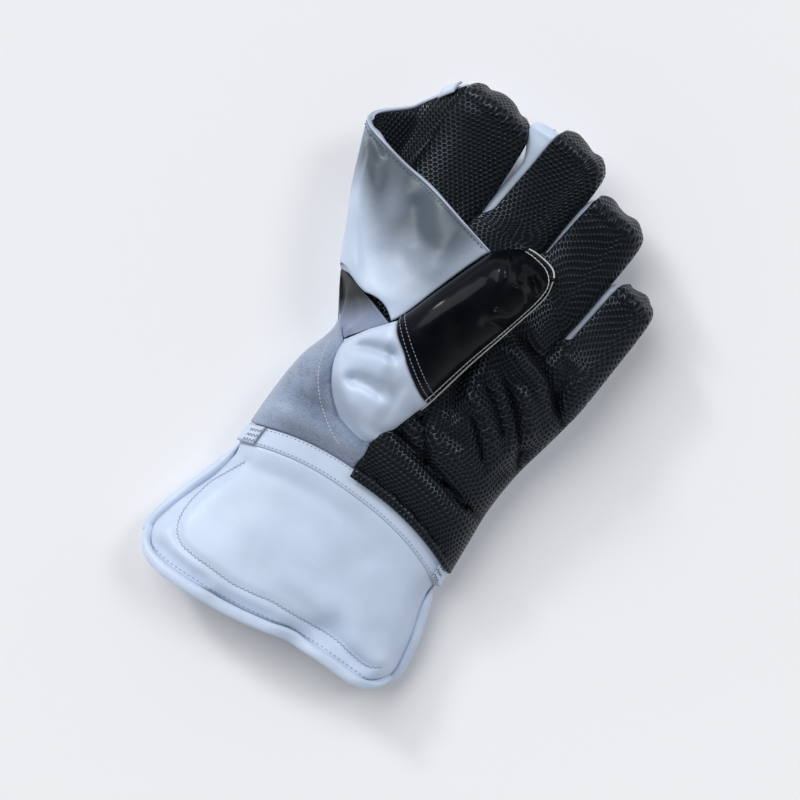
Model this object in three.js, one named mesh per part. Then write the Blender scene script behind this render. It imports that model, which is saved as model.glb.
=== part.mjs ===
// A left-hand wicketkeeping glove, resting on its back with the palm up and the thumb folded over the palm.
// Millimetres. +X runs towards the little finger, +Y towards the fingertips, +Z out of the palm, and the
// floor is at Z = 0. Every piece is a sheet of leather or rubber of its real thickness, cut from one of the
// glove's forms: the hand, the cuff, the wrist, four fingers, the thumb and the web.
import * as THREE from "three";

// Sheets and gaps
const SEAM_GAP = 0.3; // between two pieces that meet at a seam
const LEATHER = 2.4; // thumb, gusset and wrist leather with its lining
const CUFF_PAD = 4; // padded leather of the cuff
const RUBBER = 3.0; // dimpled facing with its backing
const SUEDE = 2.0; // soft panel above the wrist
const BACK_PAD = 7.0; // padded leather under the knuckles
const BACK_SIDE = 2.6; // the same leather where it turns up at the sides
const WEB_LEATHER = 1.6; // outside of the web
const WEB_RUBBER = 1.8; // inside of the web
const TAB_LEATHER = 1.5; // bar-tacked tabs at the ends of the wrist band
const THINNEST = 0.8; // the least that a wall is pressed to where it lies on something
const TIP_SHARE = 0.38; // how thin a wall runs out at a seam across a tip, as a share
const TAPER_START = 0.8; // where walls start to thin towards such a seam, as a share of the finger's length
const MOST_DRAWN = 0.6; // the most that an edge is drawn back from its seam, as a share of one step
const FLOOR_PRESS = 1.2; // how deep the padded back is pressed flat where it rests

// The hand, from the wrist band to the crotches between the fingers
const HAND_LEFT = -60; // X of the index finger's outer side, at the knuckles
const WRIST_Y = -63; // Y of the wrist line, averaged over its two ends
const PALM_LENGTH = 158; // wrist line to the crotch between the middle and ring fingers
const PALM_HEIGHT = 47; // floor to the highest part of the palm
const WRIST_BOW = 13; // how far the wrist line bows towards the fingers
const WRIST_BOW_SHAPE = 2.4; // 2 is an arc, and a larger number is flatter in its middle
const WRIST_SKEW = 8; // how far its little-finger end lies ahead of its thumb end
const BAND_WIDTH = 12; // wrist band
const BAND_STEP = 0.8; // how far the band stands proud of the leather on each side
const BAND_TABS = { thumb: [0.03, 0.16], little: [0.86, 0.97] }; // where its tabs lie, around the hand
const TABS_ON_BAND = [-0.95, -0.05]; // and across the band
const PARTING = 0.84; // where the palm starts to part into fingers, as a share of the way to the knuckles

// The cuff, from the wrist band to its open rim
const CUFF_LENGTH = 74; // wrist line to the rim, averaged over its two ends
const CUFF_SKEW = 22; // how far the rim's little-finger end lies ahead of its thumb end
const CUFF_HEIGHT = 38; // floor to the highest part of the rim
const CUFF_LEFT = -51; // X of the flared rim's two ends
const CUFF_WIDTH = 146;
const RIM_WIDTH = 5; // rolled rim
const RIM_STEP = 0.8; // how far the rim stands proud of the cuff

// The thumb, from its root ring on the palm to its tip
const THUMB_X = -11;
const THUMB_Y = -8;
const THUMB_LENGTH = 103;
const THUMB_WIDTH = 36;
const THUMB_THICKNESS = 32;
const RING_BLEND = 0.08; // where the thumb has risen off its root ring, as a share of its length

// The web between the thumb and the index finger
const WEB_REACH = 36; // how far its fold stands out past the index finger
const WEB_LENGTH = 64; // its fold, from the crotch to the free edge
const WEB_FOLD_Z = 43; // height of the fold at the free edge
const WEB_BINDING = 2.2; // width of the bound free edge
const WEB_CLEAR = 1; // from the web's sewn edges to the thumb, the hand and the index finger
const WEB_SHORT = 0.8; // how far round the web's layers go at the crotch, short of the hand
const BINDING_STEP = 0.4; // how far the binding stands proud of the web
const WEB_TAB = [0.83, 0.95, 0.9, 1]; // the corner tab, from and to across the web and then along it
const GUSSET_SAG = 6; // how deep the gusset in the crotch hangs between its edges
const GUSSET_CLEAR = 3; // from the gusset's foot to the hand's side
const GUSSET_LIFT = 0.9; // from the gusset to the palm under it
const GUSSET_BELOW = 0.1; // how far its foot lies below the web's sewn edge, as a share of the hand
const GUSSET_SPAN = [0.06, 0.9, 0.03, 0.86]; // from and to across it and then up it, short of its neighbours

// Steps across and along each sheet
const STEPS = {
  palm: [36, 7],
  suede: [16, 6],
  back: [20, 10],
  finger: [10, 10],
  thumbBase: [12, 6],
  thumbCap: [12, 9],
  thumbFacing: [12, 12],
  web: [14, 7],
  binding: [14, 1],
  webTab: [4, 3],
  gusset: [10, 5],
  band: [18, 2],
  bandTab: [3, 2],
  cuffFront: [20, 8],
  cuffBack: [18, 8],
  rim: [40, 2],
};
const HEM_STEPS = 5; // along the rubber palm's inner edge, from the wrist to the thumb's root
const OUTER_STEPS = 7; // up its outer side
const KNUCKLE_STEPS = 6; // across each finger's root
const WEB_SIDE_STEPS = 5; // down its thumb side
const ROW_CROWDING = 1.35; // how much closer the rows lie towards a fingertip
const ROWS_UNDER_BAND = 0.1; // the share of the back's rows that lie under the wrist band

// Fullness of the sections: 2 is an ellipse, and a larger number is squarer
const TOP_FULLNESS = 2.6;
const BACK_FULLNESS = 3.4;
const CUFF_FULLNESS = 2.5;
const THUMB_FULLNESS = 2.3;

// Fingers, from the thumb's side. root is where the crotch on the finger's thumb side lies, as a share of
// the palm length; shift is how far the tip leans along X; white is the width of leather that shows along
// the thumb side of the facing.
const FINGERS = [
  { name: "index", width: 36.5, length: 58, tip: 31, narrow: 1.04, rise: 17, root: 0.877, shift: -4, white: 0 },
  { name: "middle", width: 36.5, length: 60, tip: 31, narrow: 0.96, rise: 20, root: 0.956, shift: 0, white: 4 },
  { name: "ring", width: 35, length: 55, tip: 30, narrow: 0.98, rise: 17, root: 1.0, shift: 0.3, white: 1.2 },
  { name: "little", width: 29, length: 49, tip: 25, narrow: 0.9, rise: 13, root: 0.835, shift: 0, white: 3.5 },
];
const OUTER_ROOT = 0.753; // the little finger's outer side, as a share of the palm length

// Sections of the hand. at is a share of the palm length; left and right are shares of the knuckle width.
const HAND_SIDES = [
  { at: 0.0, left: 0.131, right: 1.029 },
  { at: 0.15, left: 0.117, right: 1.0 },
  { at: 0.28, left: 0.117, right: 0.976 },
  { at: 0.43, left: 0.142, right: 0.971 },
  { at: 0.56, left: 0.066, right: 0.985 },
  { at: 0.69, left: 0.015, right: 0.997 },
  { at: 0.82, left: 0.0, right: 1.0 },
  { at: 1.0, left: 0.0, right: 1.0 },
];
// Heights of the hand's sections, as shares of the palm height. at runs from the wrist to the knuckles.
const HAND_HEIGHTS = [
  { at: 0.0, top: 0.78, edge: 0.33, bottom: 0.04 },
  { at: 0.2, top: 0.92, edge: 0.38, bottom: 0.0 },
  { at: 0.5, top: 1.0, edge: 0.47, bottom: 0.0 },
  { at: 0.8, top: 0.96, edge: 0.6, bottom: 0.0 },
  { at: 1.0, top: 0.85, edge: 0.69, bottom: 0.02 },
];
// Sections of the cuff. at runs from the wrist to the rim; left and right are shares of the rim's width, and
// the heights are shares of the cuff height.
const CUFF_SECTIONS = [
  { at: 0.0, left: 0.062, right: 0.904, top: 0.96, edge: 0.4, bottom: 0.05 },
  { at: 0.22, left: 0.055, right: 0.93, top: 0.9, edge: 0.36, bottom: 0.0 },
  { at: 0.5, left: 0.025, right: 0.972, top: 0.92, edge: 0.33, bottom: 0.0 },
  { at: 0.8, left: 0.0, right: 1.0, top: 1.0, edge: 0.32, bottom: 0.0 },
  { at: 0.93, left: 0.01, right: 0.99, top: 1.0, edge: 0.32, bottom: 0.0 },
  { at: 1.0, left: 0.085, right: 0.945, top: 0.98, edge: 0.34, bottom: 0.0 },
];
const DENT_GROWTH = 3; // how fast dents deepen from the sides of an arch
// Dents and folds pressed into the upper side, at X and Y: long and wide are the half-axes, turn is the
// direction of the long one in degrees from +X, and depth is downwards.
const DENTS = [
  { name: "cuff rim wave", x: 52, y: -128, long: 20, wide: 9, turn: 60, depth: 5 },
  { name: "cuff corner lift", x: 84, y: -124, long: 16, wide: 10, turn: 60, depth: -3 },
  { name: "crease of the palm", x: 46, y: -25, long: 34, wide: 3.2, turn: 0, depth: 2.4 },
  { name: "roll under the crease", x: 48, y: -34, long: 32, wide: 5, turn: 0, depth: -1.6 },
  { name: "first palm wrinkle", x: 34, y: -4, long: 24, wide: 3.2, turn: 112, depth: 1.8 },
  { name: "second palm wrinkle", x: 46, y: 8, long: 28, wide: 3.4, turn: 106, depth: 1.8 },
  { name: "third palm wrinkle", x: 58, y: 14, long: 26, wide: 3.4, turn: 100, depth: 1.4 },
  { name: "roll of suede", x: -6, y: -38, long: 24, wide: 4, turn: 12, depth: -3.4 },
];
// Sections of a finger. Columns that end in At are shares of its length, and the others are shares of its
// thickness there, from its underside: the side seams, the crest of the facing and the sole of the back.
const FINGER_SECTIONS = [
  { at: 0.0, seamAt: 0.0, seam: 0.8, crestAt: 0.0, crest: 1.0, soleAt: 0.0, sole: 0.0, wide: 1.0 },
  { at: 0.3, seamAt: 0.33, seam: 0.8, crestAt: 0.33, crest: 1.0, soleAt: 0.33, sole: 0.0, wide: 1.0 },
  { at: 0.55, seamAt: 0.62, seam: 0.8, crestAt: 0.63, crest: 1.0, soleAt: 0.63, sole: 0.0, wide: 0.99 },
  { at: 0.7, seamAt: 0.77, seam: 0.78, crestAt: 0.8, crest: 0.99, soleAt: 0.79, sole: 0.03, wide: 0.97 },
  { at: 0.82, seamAt: 0.87, seam: 0.7, crestAt: 0.91, crest: 0.87, soleAt: 0.89, sole: 0.08, wide: 0.93 },
  { at: 0.92, seamAt: 0.92, seam: 0.57, crestAt: 0.965, crest: 0.64, soleAt: 0.955, sole: 0.18, wide: 0.86 },
  { at: 1.0, seamAt: 0.945, seam: 0.42, crestAt: 1.0, crest: 0.38, soleAt: 1.0, sole: 0.38, wide: 0.72 },
];
// Sections of the thumb, from its root ring. X columns are shares of its width, Y columns of its length and
// lift columns of its thickness above the palm, for its web side, its seam side, its back and its palm side.
const THUMB_SECTIONS = [
  { at: 0.0, webX: -0.67, webY: 0.09, webLift: 0, seamX: 0.67, seamY: -0.15, seamLift: 0,
    backX: -0.06, backY: -0.235, backLift: 0, palmX: 0.19, palmY: 0.21, palmLift: 0.015 },
  { at: 0.18, webX: -0.44, webY: 0.215, webLift: 0.28, seamX: 0.75, seamY: -0.02, seamLift: 0.12,
    backX: -0.03, backY: 0.0, backLift: 0.55, palmX: 0.3, palmY: 0.27, palmLift: 0.03 },
  { at: 0.34, webX: -0.22, webY: 0.33, webLift: 0.42, seamX: 0.83, seamY: 0.115, seamLift: 0.18,
    backX: 0.2, backY: 0.195, backLift: 0.86, palmX: 0.44, palmY: 0.37, palmLift: 0.035 },
  { at: 0.54, webX: -0.06, webY: 0.56, webLift: 0.48, seamX: 0.92, seamY: 0.39, seamLift: 0.2,
    backX: 0.39, backY: 0.465, backLift: 0.98, palmX: 0.53, palmY: 0.54, palmLift: 0.035 },
  { at: 0.72, webX: 0.08, webY: 0.76, webLift: 0.48, seamX: 1.03, seamY: 0.64, seamLift: 0.22,
    backX: 0.56, backY: 0.7, backLift: 1.0, palmX: 0.64, palmY: 0.72, palmLift: 0.035 },
  { at: 0.88, webX: 0.2, webY: 0.875, webLift: 0.45, seamX: 1.11, seamY: 0.855, seamLift: 0.25,
    backX: 0.67, backY: 0.89, backLift: 0.9, palmX: 0.72, palmY: 0.87, palmLift: 0.05 },
  { at: 1.0, webX: 0.44, webY: 0.96, webLift: 0.38, seamX: 1.03, seamY: 0.96, seamLift: 0.28,
    backX: 0.74, backY: 1.0, backLift: 0.32, palmX: 0.74, palmY: 1.0, palmLift: 0.32 },
];
const CAP_START = 0.34; // where the glossy cap takes over from the white base, on the same scale
// Sections of the web, from the crotch to its free edge: the fold's place as shares of the web's reach,
// length and fold height, and how far the layer over the fold crowns and the one under it sags.
const WEB_SECTIONS = [
  { at: 0.0, out: 0.0, along: 0.0, up: 0.84, crown: 7, sag: 2 },
  { at: 0.25, out: 0.25, along: 0.25, up: 0.91, crown: 8, sag: 5 },
  { at: 0.5, out: 0.54, along: 0.5, up: 0.95, crown: 9, sag: 9 },
  { at: 0.75, out: 0.79, along: 0.77, up: 1.0, crown: 9, sag: 11 },
  { at: 1.0, out: 1.0, along: 1.0, up: 1.0, crown: 8.5, sag: 12 },
];
const WEB_START_Y = 29; // Y of the fold at the crotch
const WEB_ON_THUMB = [0.3, 0.86]; // the stretch of the thumb's side that carries the web
const WEB_ON_HAND = [0.58, 1.0]; // the stretch of the hand's side that carries it, from wrist to knuckle
const WEB_ON_INDEX = 0.9; // how far along the index finger it reaches
const WEB_HAND_SHARE = 0.45; // the share of the web that is sewn to the hand, before the finger starts

const AT_END = 0.999; // from here on a place counts as the end of its form
const NORMAL_STEP = 0.01; // the step of a form's parameters that its normals are taken over

const { lerp, smoothstep, degToRad, clamp } = THREE.MathUtils;
const vector = (x, y, z) => new THREE.Vector3(x, y, z);

// A smooth curve through one column of a table, against its "at" column.
function through(rows, column) {
  const slope = (i) => {
    const a = rows[Math.max(i - 1, 0)];
    const b = rows[Math.min(i + 1, rows.length - 1)];
    return (b[column] - a[column]) / (b.at - a.at);
  };
  return (at) => {
    const t = clamp(at, rows[0].at, rows[rows.length - 1].at);
    const i = Math.max(rows.findIndex((row) => row.at >= t), 1);
    const [a, b] = [rows[i - 1], rows[i]];
    const span = b.at - a.at;
    const h = (t - a.at) / span;
    const bend = h * (1 - h) * span * (slope(i - 1) * (1 - h) - slope(i) * h);
    return a[column] + (b[column] - a[column]) * h * h * (3 - 2 * h) + bend;
  };
}

// Every column of a table as a curve, by name.
function curvesThrough(rows) {
  const names = Object.keys(rows[0]).filter((name) => name !== "at");
  return Object.fromEntries(names.map((name) => [name, through(rows, name)]));
}

// A smooth curve through a few points, at equal steps of its parameter from 0 to 1.
function curvePoint(points, t) {
  const rows = points.map(({ x, y, z }, i) => ({ at: i / (points.length - 1), x, y, z }));
  return vector(...["x", "y", "z"].map((axis) => through(rows, axis)(t)));
}

// A place on a closed form: around runs from 0 to 1 over its upper half, from the thumb's side to the little
// finger's, and on to 2 back under it. across is -1 on the thumb's side and 1 on the other.
function turnOf(around) {
  const lap = ((around % 2) + 2) % 2;
  return lap <= 1 ? { side: 1, across: 2 * lap - 1 } : { side: -1, across: 3 - 2 * lap };
}
const shareOf = (across) => (1 + Math.sin((across * Math.PI) / 2)) / 2;
const aroundOf = (share) => 0.5 + Math.asin(clamp(2 * share - 1, -1, 1)) / Math.PI;

// The height of half a rounded section at a share of its half-width.
function roundHeight(share, fullness) {
  return Math.max(0, 1 - Math.abs(share) ** fullness) ** (1 / fullness);
}

// How far the dents press the upper side down at a point.
function dentAt(x, y) {
  return DENTS.reduce((sum, dent) => {
    const [c, s] = [Math.cos(degToRad(dent.turn)), Math.sin(degToRad(dent.turn))];
    const along = ((x - dent.x) * c + (y - dent.y) * s) / dent.long;
    const side = ((y - dent.y) * c - (x - dent.x) * s) / dent.wide;
    return sum + dent.depth * Math.exp(-along * along - side * side);
  }, 0);
}

// What rests on the floor is pressed flat.
const pressed = (z) => Math.max(z - FLOOR_PRESS, 0);

// The knuckle line, where the fingers start: a corner at each crotch.
const knuckleWidth = FINGERS.reduce((sum, finger) => sum + finger.width, 0);
const crotches = FINGERS.map((finger, i) => ({
  x: HAND_LEFT + FINGERS.slice(0, i).reduce((sum, other) => sum + other.width, 0),
  y: WRIST_Y + finger.root * PALM_LENGTH,
}));
crotches.push({ x: HAND_LEFT + knuckleWidth, y: WRIST_Y + OUTER_ROOT * PALM_LENGTH });

// The finger whose root lies at a share of the hand's width, and the place within it from 0 to 1.
function fingerAt(share) {
  const x = HAND_LEFT + share * knuckleWidth;
  const next = crotches.findIndex((crotch, k) => k > 0 && crotch.x >= x);
  const i = next < 0 ? FINGERS.length - 1 : next - 1;
  return { i, within: clamp((x - crotches[i].x) / FINGERS[i].width, 0, 1) };
}

const handSides = curvesThrough(HAND_SIDES);
const handHeights = curvesThrough(HAND_HEIGHTS);
const cuffSections = curvesThrough(CUFF_SECTIONS);
const fingerSections = curvesThrough(FINGER_SECTIONS);
const thumbSections = curvesThrough(THUMB_SECTIONS);
const webSections = curvesThrough(WEB_SECTIONS);

// Lines across the glove in plan, by the share of its width.
const wristLine = (share) =>
  WRIST_Y + (share - 0.5) * WRIST_SKEW + WRIST_BOW * (1 - Math.abs(2 * share - 1) ** WRIST_BOW_SHAPE);
const handStart = (share) => wristLine(share) + BAND_WIDTH / 2;
const cuffStart = (share) => wristLine(share) - BAND_WIDTH / 2;
function knuckleLine(share) {
  const { i, within } = fingerAt(share);
  return lerp(crotches[i].y, crotches[i + 1].y, within);
}

// A point of the hand in plan, from its shares across and along, and back again.
function handPlan(share, along) {
  const y = lerp(handStart(share), knuckleLine(share), along);
  const at = (y - WRIST_Y) / PALM_LENGTH;
  const x = HAND_LEFT + knuckleWidth * lerp(handSides.left(at), handSides.right(at), share);
  return { x, y };
}
function handShares(x, y) {
  const at = (y - WRIST_Y) / PALM_LENGTH;
  const [left, right] = [handSides.left(at), handSides.right(at)];
  const share = clamp(((x - HAND_LEFT) / knuckleWidth - left) / (right - left), 0, 1);
  const along = (y - handStart(share)) / (knuckleLine(share) - handStart(share));
  return { share, along: clamp(along, 0, 1) };
}

// The palm's height: one arch over the hand, which parts into an arch for each finger at the knuckles.
function palmHeight(share, along, x, y) {
  const hand = roundHeight(2 * share - 1, TOP_FULLNESS);
  const finger = roundHeight(2 * fingerAt(share).within - 1, TOP_FULLNESS);
  const arch = lerp(hand, finger, smoothstep(along, PARTING, 1));
  const dents = dentAt(x, y) * Math.min(1, DENT_GROWTH * arch) * (1 - smoothstep(along, PARTING, 1));
  return PALM_HEIGHT * lerp(handHeights.edge(along), handHeights.top(along), arch) - dents;
}
function palmZ(x, y) {
  const { share, along } = handShares(x, y);
  return palmHeight(share, along, x, y);
}

// The back's depth, from 0 at its sides to 1: at the knuckles its sides are those of the outer fingers.
function backDepth(share, along) {
  const { i, within } = fingerAt(share);
  const outer = (i === 0 && within < 0.5) || (i === FINGERS.length - 1 && within > 0.5);
  const finger = outer ? roundHeight(2 * within - 1, BACK_FULLNESS) : 1;
  return lerp(roundHeight(2 * share - 1, BACK_FULLNESS), finger, smoothstep(along, PARTING, 1));
}

// The hand as a form. along runs from the wrist band to the knuckles, and from -1 to 0 across the band.
function handForm(around, along) {
  if (along < 0) return cuffForm(around, 0).lerp(handForm(around, 0), along + 1);
  const { side, across } = turnOf(around);
  const share = shareOf(across);
  const { x, y } = handPlan(share, along);
  if (side > 0) return vector(x, y, palmHeight(share, along, x, y));
  const depth = backDepth(share, along);
  const z = PALM_HEIGHT * lerp(handHeights.edge(along), handHeights.bottom(along), depth);
  return vector(x, y, lerp(z, pressed(z), depth));
}

// The cuff as a form, from the wrist band to the rim.
function cuffForm(around, along) {
  const { side, across } = turnOf(around);
  const share = shareOf(across);
  const rim = WRIST_Y - CUFF_LENGTH + (share - 0.5) * CUFF_SKEW;
  const y = lerp(cuffStart(share), rim, along);
  const x = CUFF_LEFT + CUFF_WIDTH * lerp(cuffSections.left(along), cuffSections.right(along), share);
  const edge = cuffSections.edge(along);
  if (side > 0) {
    const arch = roundHeight(2 * share - 1, CUFF_FULLNESS);
    const top = CUFF_HEIGHT * lerp(edge, cuffSections.top(along), arch);
    return vector(x, y, top - dentAt(x, y) * Math.min(1, DENT_GROWTH * arch));
  }
  const depth = roundHeight(2 * share - 1, BACK_FULLNESS);
  const z = CUFF_HEIGHT * lerp(edge, cuffSections.bottom(along), depth);
  return vector(x, y, lerp(z, pressed(z), depth));
}

// A section between four rails: half a rounded curve over the crest, and half of one under the sole.
function railPoint(rails, { side, across }, fullness) {
  const angle = (across * Math.PI) / 2;
  const power = 2 / fullness;
  const out = Math.sign(across) * Math.abs(Math.sin(angle)) ** power;
  const up = Math.abs(across) >= 1 ? 0 : Math.cos(angle) ** power;
  const middle = rails.left.clone().lerp(rails.right, 0.5);
  const far = side > 0 ? rails.crest : rails.sole;
  return middle
    .clone()
    .addScaledVector(rails.right.clone().sub(rails.left), out / 2)
    .addScaledVector(far.clone().sub(middle), up);
}

// How far around a finger's form a line lies that is inset from its thumb side.
const aroundAt = (inset, width) => 0.5 - Math.asin((1 - (2 * inset) / width) ** (TOP_FULLNESS / 2)) / Math.PI;

// A finger as a form, from the knuckle line to the seam across its tip.
const fingerForm = (index) => (around, along) => {
  const finger = FINGERS[index];
  const [from, to] = [crotches[index], crotches[index + 1]];
  const [bottom, top] = [pressed(PALM_HEIGHT * handHeights.bottom(1)), PALM_HEIGHT * handHeights.top(1)];
  const slant = (to.y - from.y) * (1 - smoothstep(along, 0, 0.5));
  const place = (at, share, half) =>
    vector(
      (from.x + to.x + half * finger.width * lerp(1, finger.narrow, at)) / 2 + finger.shift * at,
      (from.y + to.y + half * slant) / 2 + finger.length * at,
      bottom + finger.rise * at * at + share * lerp(top - bottom, finger.tip, at),
    );
  const s = fingerSections;
  const wide = s.wide(along) - (2 * SEAM_GAP) / finger.width;
  const rails = {
    left: place(s.seamAt(along), s.seam(along), -wide),
    right: place(s.seamAt(along), s.seam(along), wide),
    crest: place(s.crestAt(along), s.crest(along), 0),
    sole: place(s.soleAt(along), s.sole(along), 0),
  };
  const turn = turnOf(around);
  return railPoint(rails, turn, turn.side > 0 ? TOP_FULLNESS : BACK_FULLNESS);
};

// The thumb as a form, from its root ring on the palm to the seam across its tip. Its upper half is its back.
function thumbForm(around, along) {
  const s = thumbSections;
  const place = (x, y, lift) => {
    const [px, py] = [THUMB_X + x * THUMB_WIDTH, THUMB_Y + y * THUMB_LENGTH];
    return vector(px, py, palmZ(px, py) + lift * THUMB_THICKNESS);
  };
  const rails = {
    left: place(s.webX(along), s.webY(along), s.webLift(along)),
    right: place(s.seamX(along), s.seamY(along), s.seamLift(along)),
    crest: place(s.backX(along), s.backY(along), s.backLift(along)),
    sole: place(s.palmX(along), s.palmY(along), s.palmLift(along)),
  };
  const point = railPoint(rails, turnOf(around), THUMB_FULLNESS);
  const ring = palmZ(point.x, point.y) + SEAM_GAP;
  return point.setZ(lerp(ring, Math.max(point.z, ring), smoothstep(along, 0, RING_BLEND)));
}

// The web as a form: a sheet folded over on itself. around runs from the thumb, over the fold, to the hand
// and the index finger, and along from the crotch to the free edge.
function webForm(around, along) {
  const thumb = thumbForm(0, lerp(...WEB_ON_THUMB, along));
  const onHand = along / WEB_HAND_SHARE;
  const onIndex = (along - WEB_HAND_SHARE) / (1 - WEB_HAND_SHARE);
  const hand =
    onHand < 1 ? handForm(0, lerp(...WEB_ON_HAND, onHand)) : fingerForm(0)(0, onIndex * WEB_ON_INDEX);
  const fold = vector(
    HAND_LEFT - WEB_REACH * webSections.out(along),
    WEB_START_Y + WEB_LENGTH * webSections.along(along),
    WEB_FOLD_Z * webSections.up(along),
  );
  thumb.x -= WEB_CLEAR;
  hand.x -= WEB_CLEAR;
  const near = thumb.clone().lerp(fold, 0.5);
  const far = fold.clone().lerp(hand, 0.5);
  near.z += webSections.crown(along);
  far.z -= webSections.sag(along);
  return curvePoint([thumb, near, fold, far, hand], around);
}

// The outward normal of a form, by small steps of its two parameters. A closed form runs on past its side
// seams, and stops at each half where the halves meet across a tip.
function normalOf(form, u, v, { closed, half, range = [0, 1], flip = 1 }) {
  const [du, dv] = [NORMAL_STEP, NORMAL_STEP];
  const [u0, u1] = half || (closed ? [u - du, u + du] : [0, 1]);
  const step = (a, b) => form(...a).sub(form(...b));
  const alongU = step([Math.min(u + du, u1), v], [Math.max(u - du, u0), v]);
  const alongV = step([u, Math.min(v + dv, range[1])], [u, Math.max(v - dv, range[0])]);
  return alongU.cross(alongV).normalize().multiplyScalar(flip);
}
function sharedNormal(form, u, v, look) {
  const other = 2 - u;
  const halfOf = (lap) => (lap <= 1 ? [0, 1] : [1, 2]);
  const own = normalOf(form, u, v, { ...look, half: halfOf(u) });
  const met = normalOf(form, other, v, { ...look, half: u <= 1 ? [1, 2] : [0, 1] });
  return own.add(met).normalize();
}

// A normal laid into the upright plane of the seam at a finger's root, so that the walls which meet there
// end in the same plane.
function intoKnucklePlane(normal, index) {
  const [from, to] = [crotches[index], crotches[index + 1]];
  const across = vector(from.y - to.y, to.x - from.x, 0).normalize();
  return normal.addScaledVector(across, -normal.dot(across)).normalize();
}

// A grid of points and normals over a form. place gives the form's parameters for u and v from 0 to 1, and
// look.knuckle the finger that a point on the knuckle line belongs to.
function gridOf(form, place, [nu, nv], look = {}) {
  return Array.from({ length: nv + 1 }, (_, j) =>
    Array.from({ length: nu + 1 }, (_, i) => {
      const [around, along] = place(i / nu, j / nv);
      const tip = look.pointed && along > AT_END;
      const normal = (tip ? sharedNormal : normalOf)(form, around, along, look);
      const knuckle = look.knuckle ? look.knuckle(around, along) : -1;
      if (knuckle >= 0) intoKnucklePlane(normal, knuckle);
      return { point: form(around, along), normal, around, along };
    }),
  );
}
const handKnuckle = (around, along) =>
  along > AT_END ? fingerAt(shareOf(turnOf(around).across)).i : -1;
const strip = (u0, u1, v0, v1) => (u, v) => [lerp(u0, u1, u), lerp(v0, v1, v)];

// A closed solid from a grid: its outer points, the same points moved in by the thickness, and its edges.
// lift raises the sheet off its form, draw says how far each edge stops short of its seam, and floor keeps
// both faces above what the sheet lies on.
function sheet(grid, thickness, { draw = {}, lift = 0, closed = false, floor = () => 0 } = {}) {
  const [rows, columns] = [grid.length, grid[0].length - (closed ? 1 : 0)];
  const layer = (depth) =>
    grid.map((row) =>
      row.slice(0, columns).map((cell) => {
        const inward = depth * (typeof thickness === "function" ? thickness(cell) : thickness);
        const point = cell.point.clone().addScaledVector(cell.normal, lift - inward);
        const upper = cell.normal.z < 0 ? depth : 1 - depth;
        return point.setZ(Math.max(point.z, floor(point.x, point.y) + upper * THINNEST));
      }),
    );
  const layers = [layer(0), layer(1)];
  const { start = SEAM_GAP / 2, end = SEAM_GAP / 2, left = SEAM_GAP / 2, right = SEAM_GAP / 2 } = draw;
  const pull = (point, next, distance) => {
    point.lerp(next, Math.min(distance / point.distanceTo(next), MOST_DRAWN));
  };
  for (const points of layers) {
    if (!closed) {
      points.forEach((row) => pull(row[0], row[1], left));
      points.forEach((row) => pull(row[columns - 1], row[columns - 2], right));
    }
    points[0].forEach((point, i) => pull(point, points[1][i], start));
    points[rows - 1].forEach((point, i) => pull(point, points[rows - 2][i], end));
  }
  const index = [];
  const at = (depth, j, i) => (depth * rows + j) * columns + (i % columns);
  const quad = (a, b, c, d) => index.push(a, b, c, a, c, d);
  const spans = closed ? columns : columns - 1;
  for (let j = 0; j < rows - 1; j++) {
    for (let i = 0; i < spans; i++) {
      quad(at(0, j, i), at(0, j, i + 1), at(0, j + 1, i + 1), at(0, j + 1, i));
      quad(at(1, j, i), at(1, j + 1, i), at(1, j + 1, i + 1), at(1, j, i + 1));
    }
    if (!closed) {
      quad(at(0, j, 0), at(0, j + 1, 0), at(1, j + 1, 0), at(1, j, 0));
      quad(at(0, j, spans), at(1, j, spans), at(1, j + 1, spans), at(0, j + 1, spans));
    }
  }
  for (let i = 0; i < spans; i++) {
    quad(at(0, 0, i), at(1, 0, i), at(1, 0, i + 1), at(0, 0, i + 1));
    quad(at(0, rows - 1, i), at(0, rows - 1, i + 1), at(1, rows - 1, i + 1), at(1, rows - 1, i));
  }
  const geometry = new THREE.BufferGeometry();
  const positions = layers.flat(2).flatMap((point) => point.toArray());
  geometry.setAttribute("position", new THREE.Float32BufferAttribute(positions, 3));
  geometry.setIndex(index);
  return facingOut(geometry);
}

// The same geometry with its faces turned over if they point inwards.
function facingOut(geometry) {
  const index = geometry.index.array;
  const corner = (i) => vector().fromBufferAttribute(geometry.attributes.position, index[i]);
  let volume = 0;
  for (let i = 0; i < index.length; i += 3) {
    volume += corner(i).dot(corner(i + 1).cross(corner(i + 2)));
  }
  if (volume < 0) {
    for (let i = 0; i < index.length; i += 3) {
      [index[i + 1], index[i + 2]] = [index[i + 2], index[i + 1]];
    }
  }
  return geometry;
}

const MATERIALS = {
  whiteLeather: { color: 0xc4d2ec, roughness: 0.45, metalness: 0 },
  blackRubber: { color: 0x16181b, roughness: 0.55, metalness: 0 },
  glossLeather: { color: 0x08090b, roughness: 0.15, metalness: 0 },
  suede: { color: 0x8f9db8, roughness: 0.95, metalness: 0 },
};
const materials = Object.fromEntries(
  Object.entries(MATERIALS).map(([name, look]) => [name, new THREE.MeshStandardMaterial(look)]));

const glove = new THREE.Group();
function add(name, geometry, material) {
  const mesh = new THREE.Mesh(geometry, materials[material]);
  mesh.name = name;
  glove.add(mesh);
}

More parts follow.
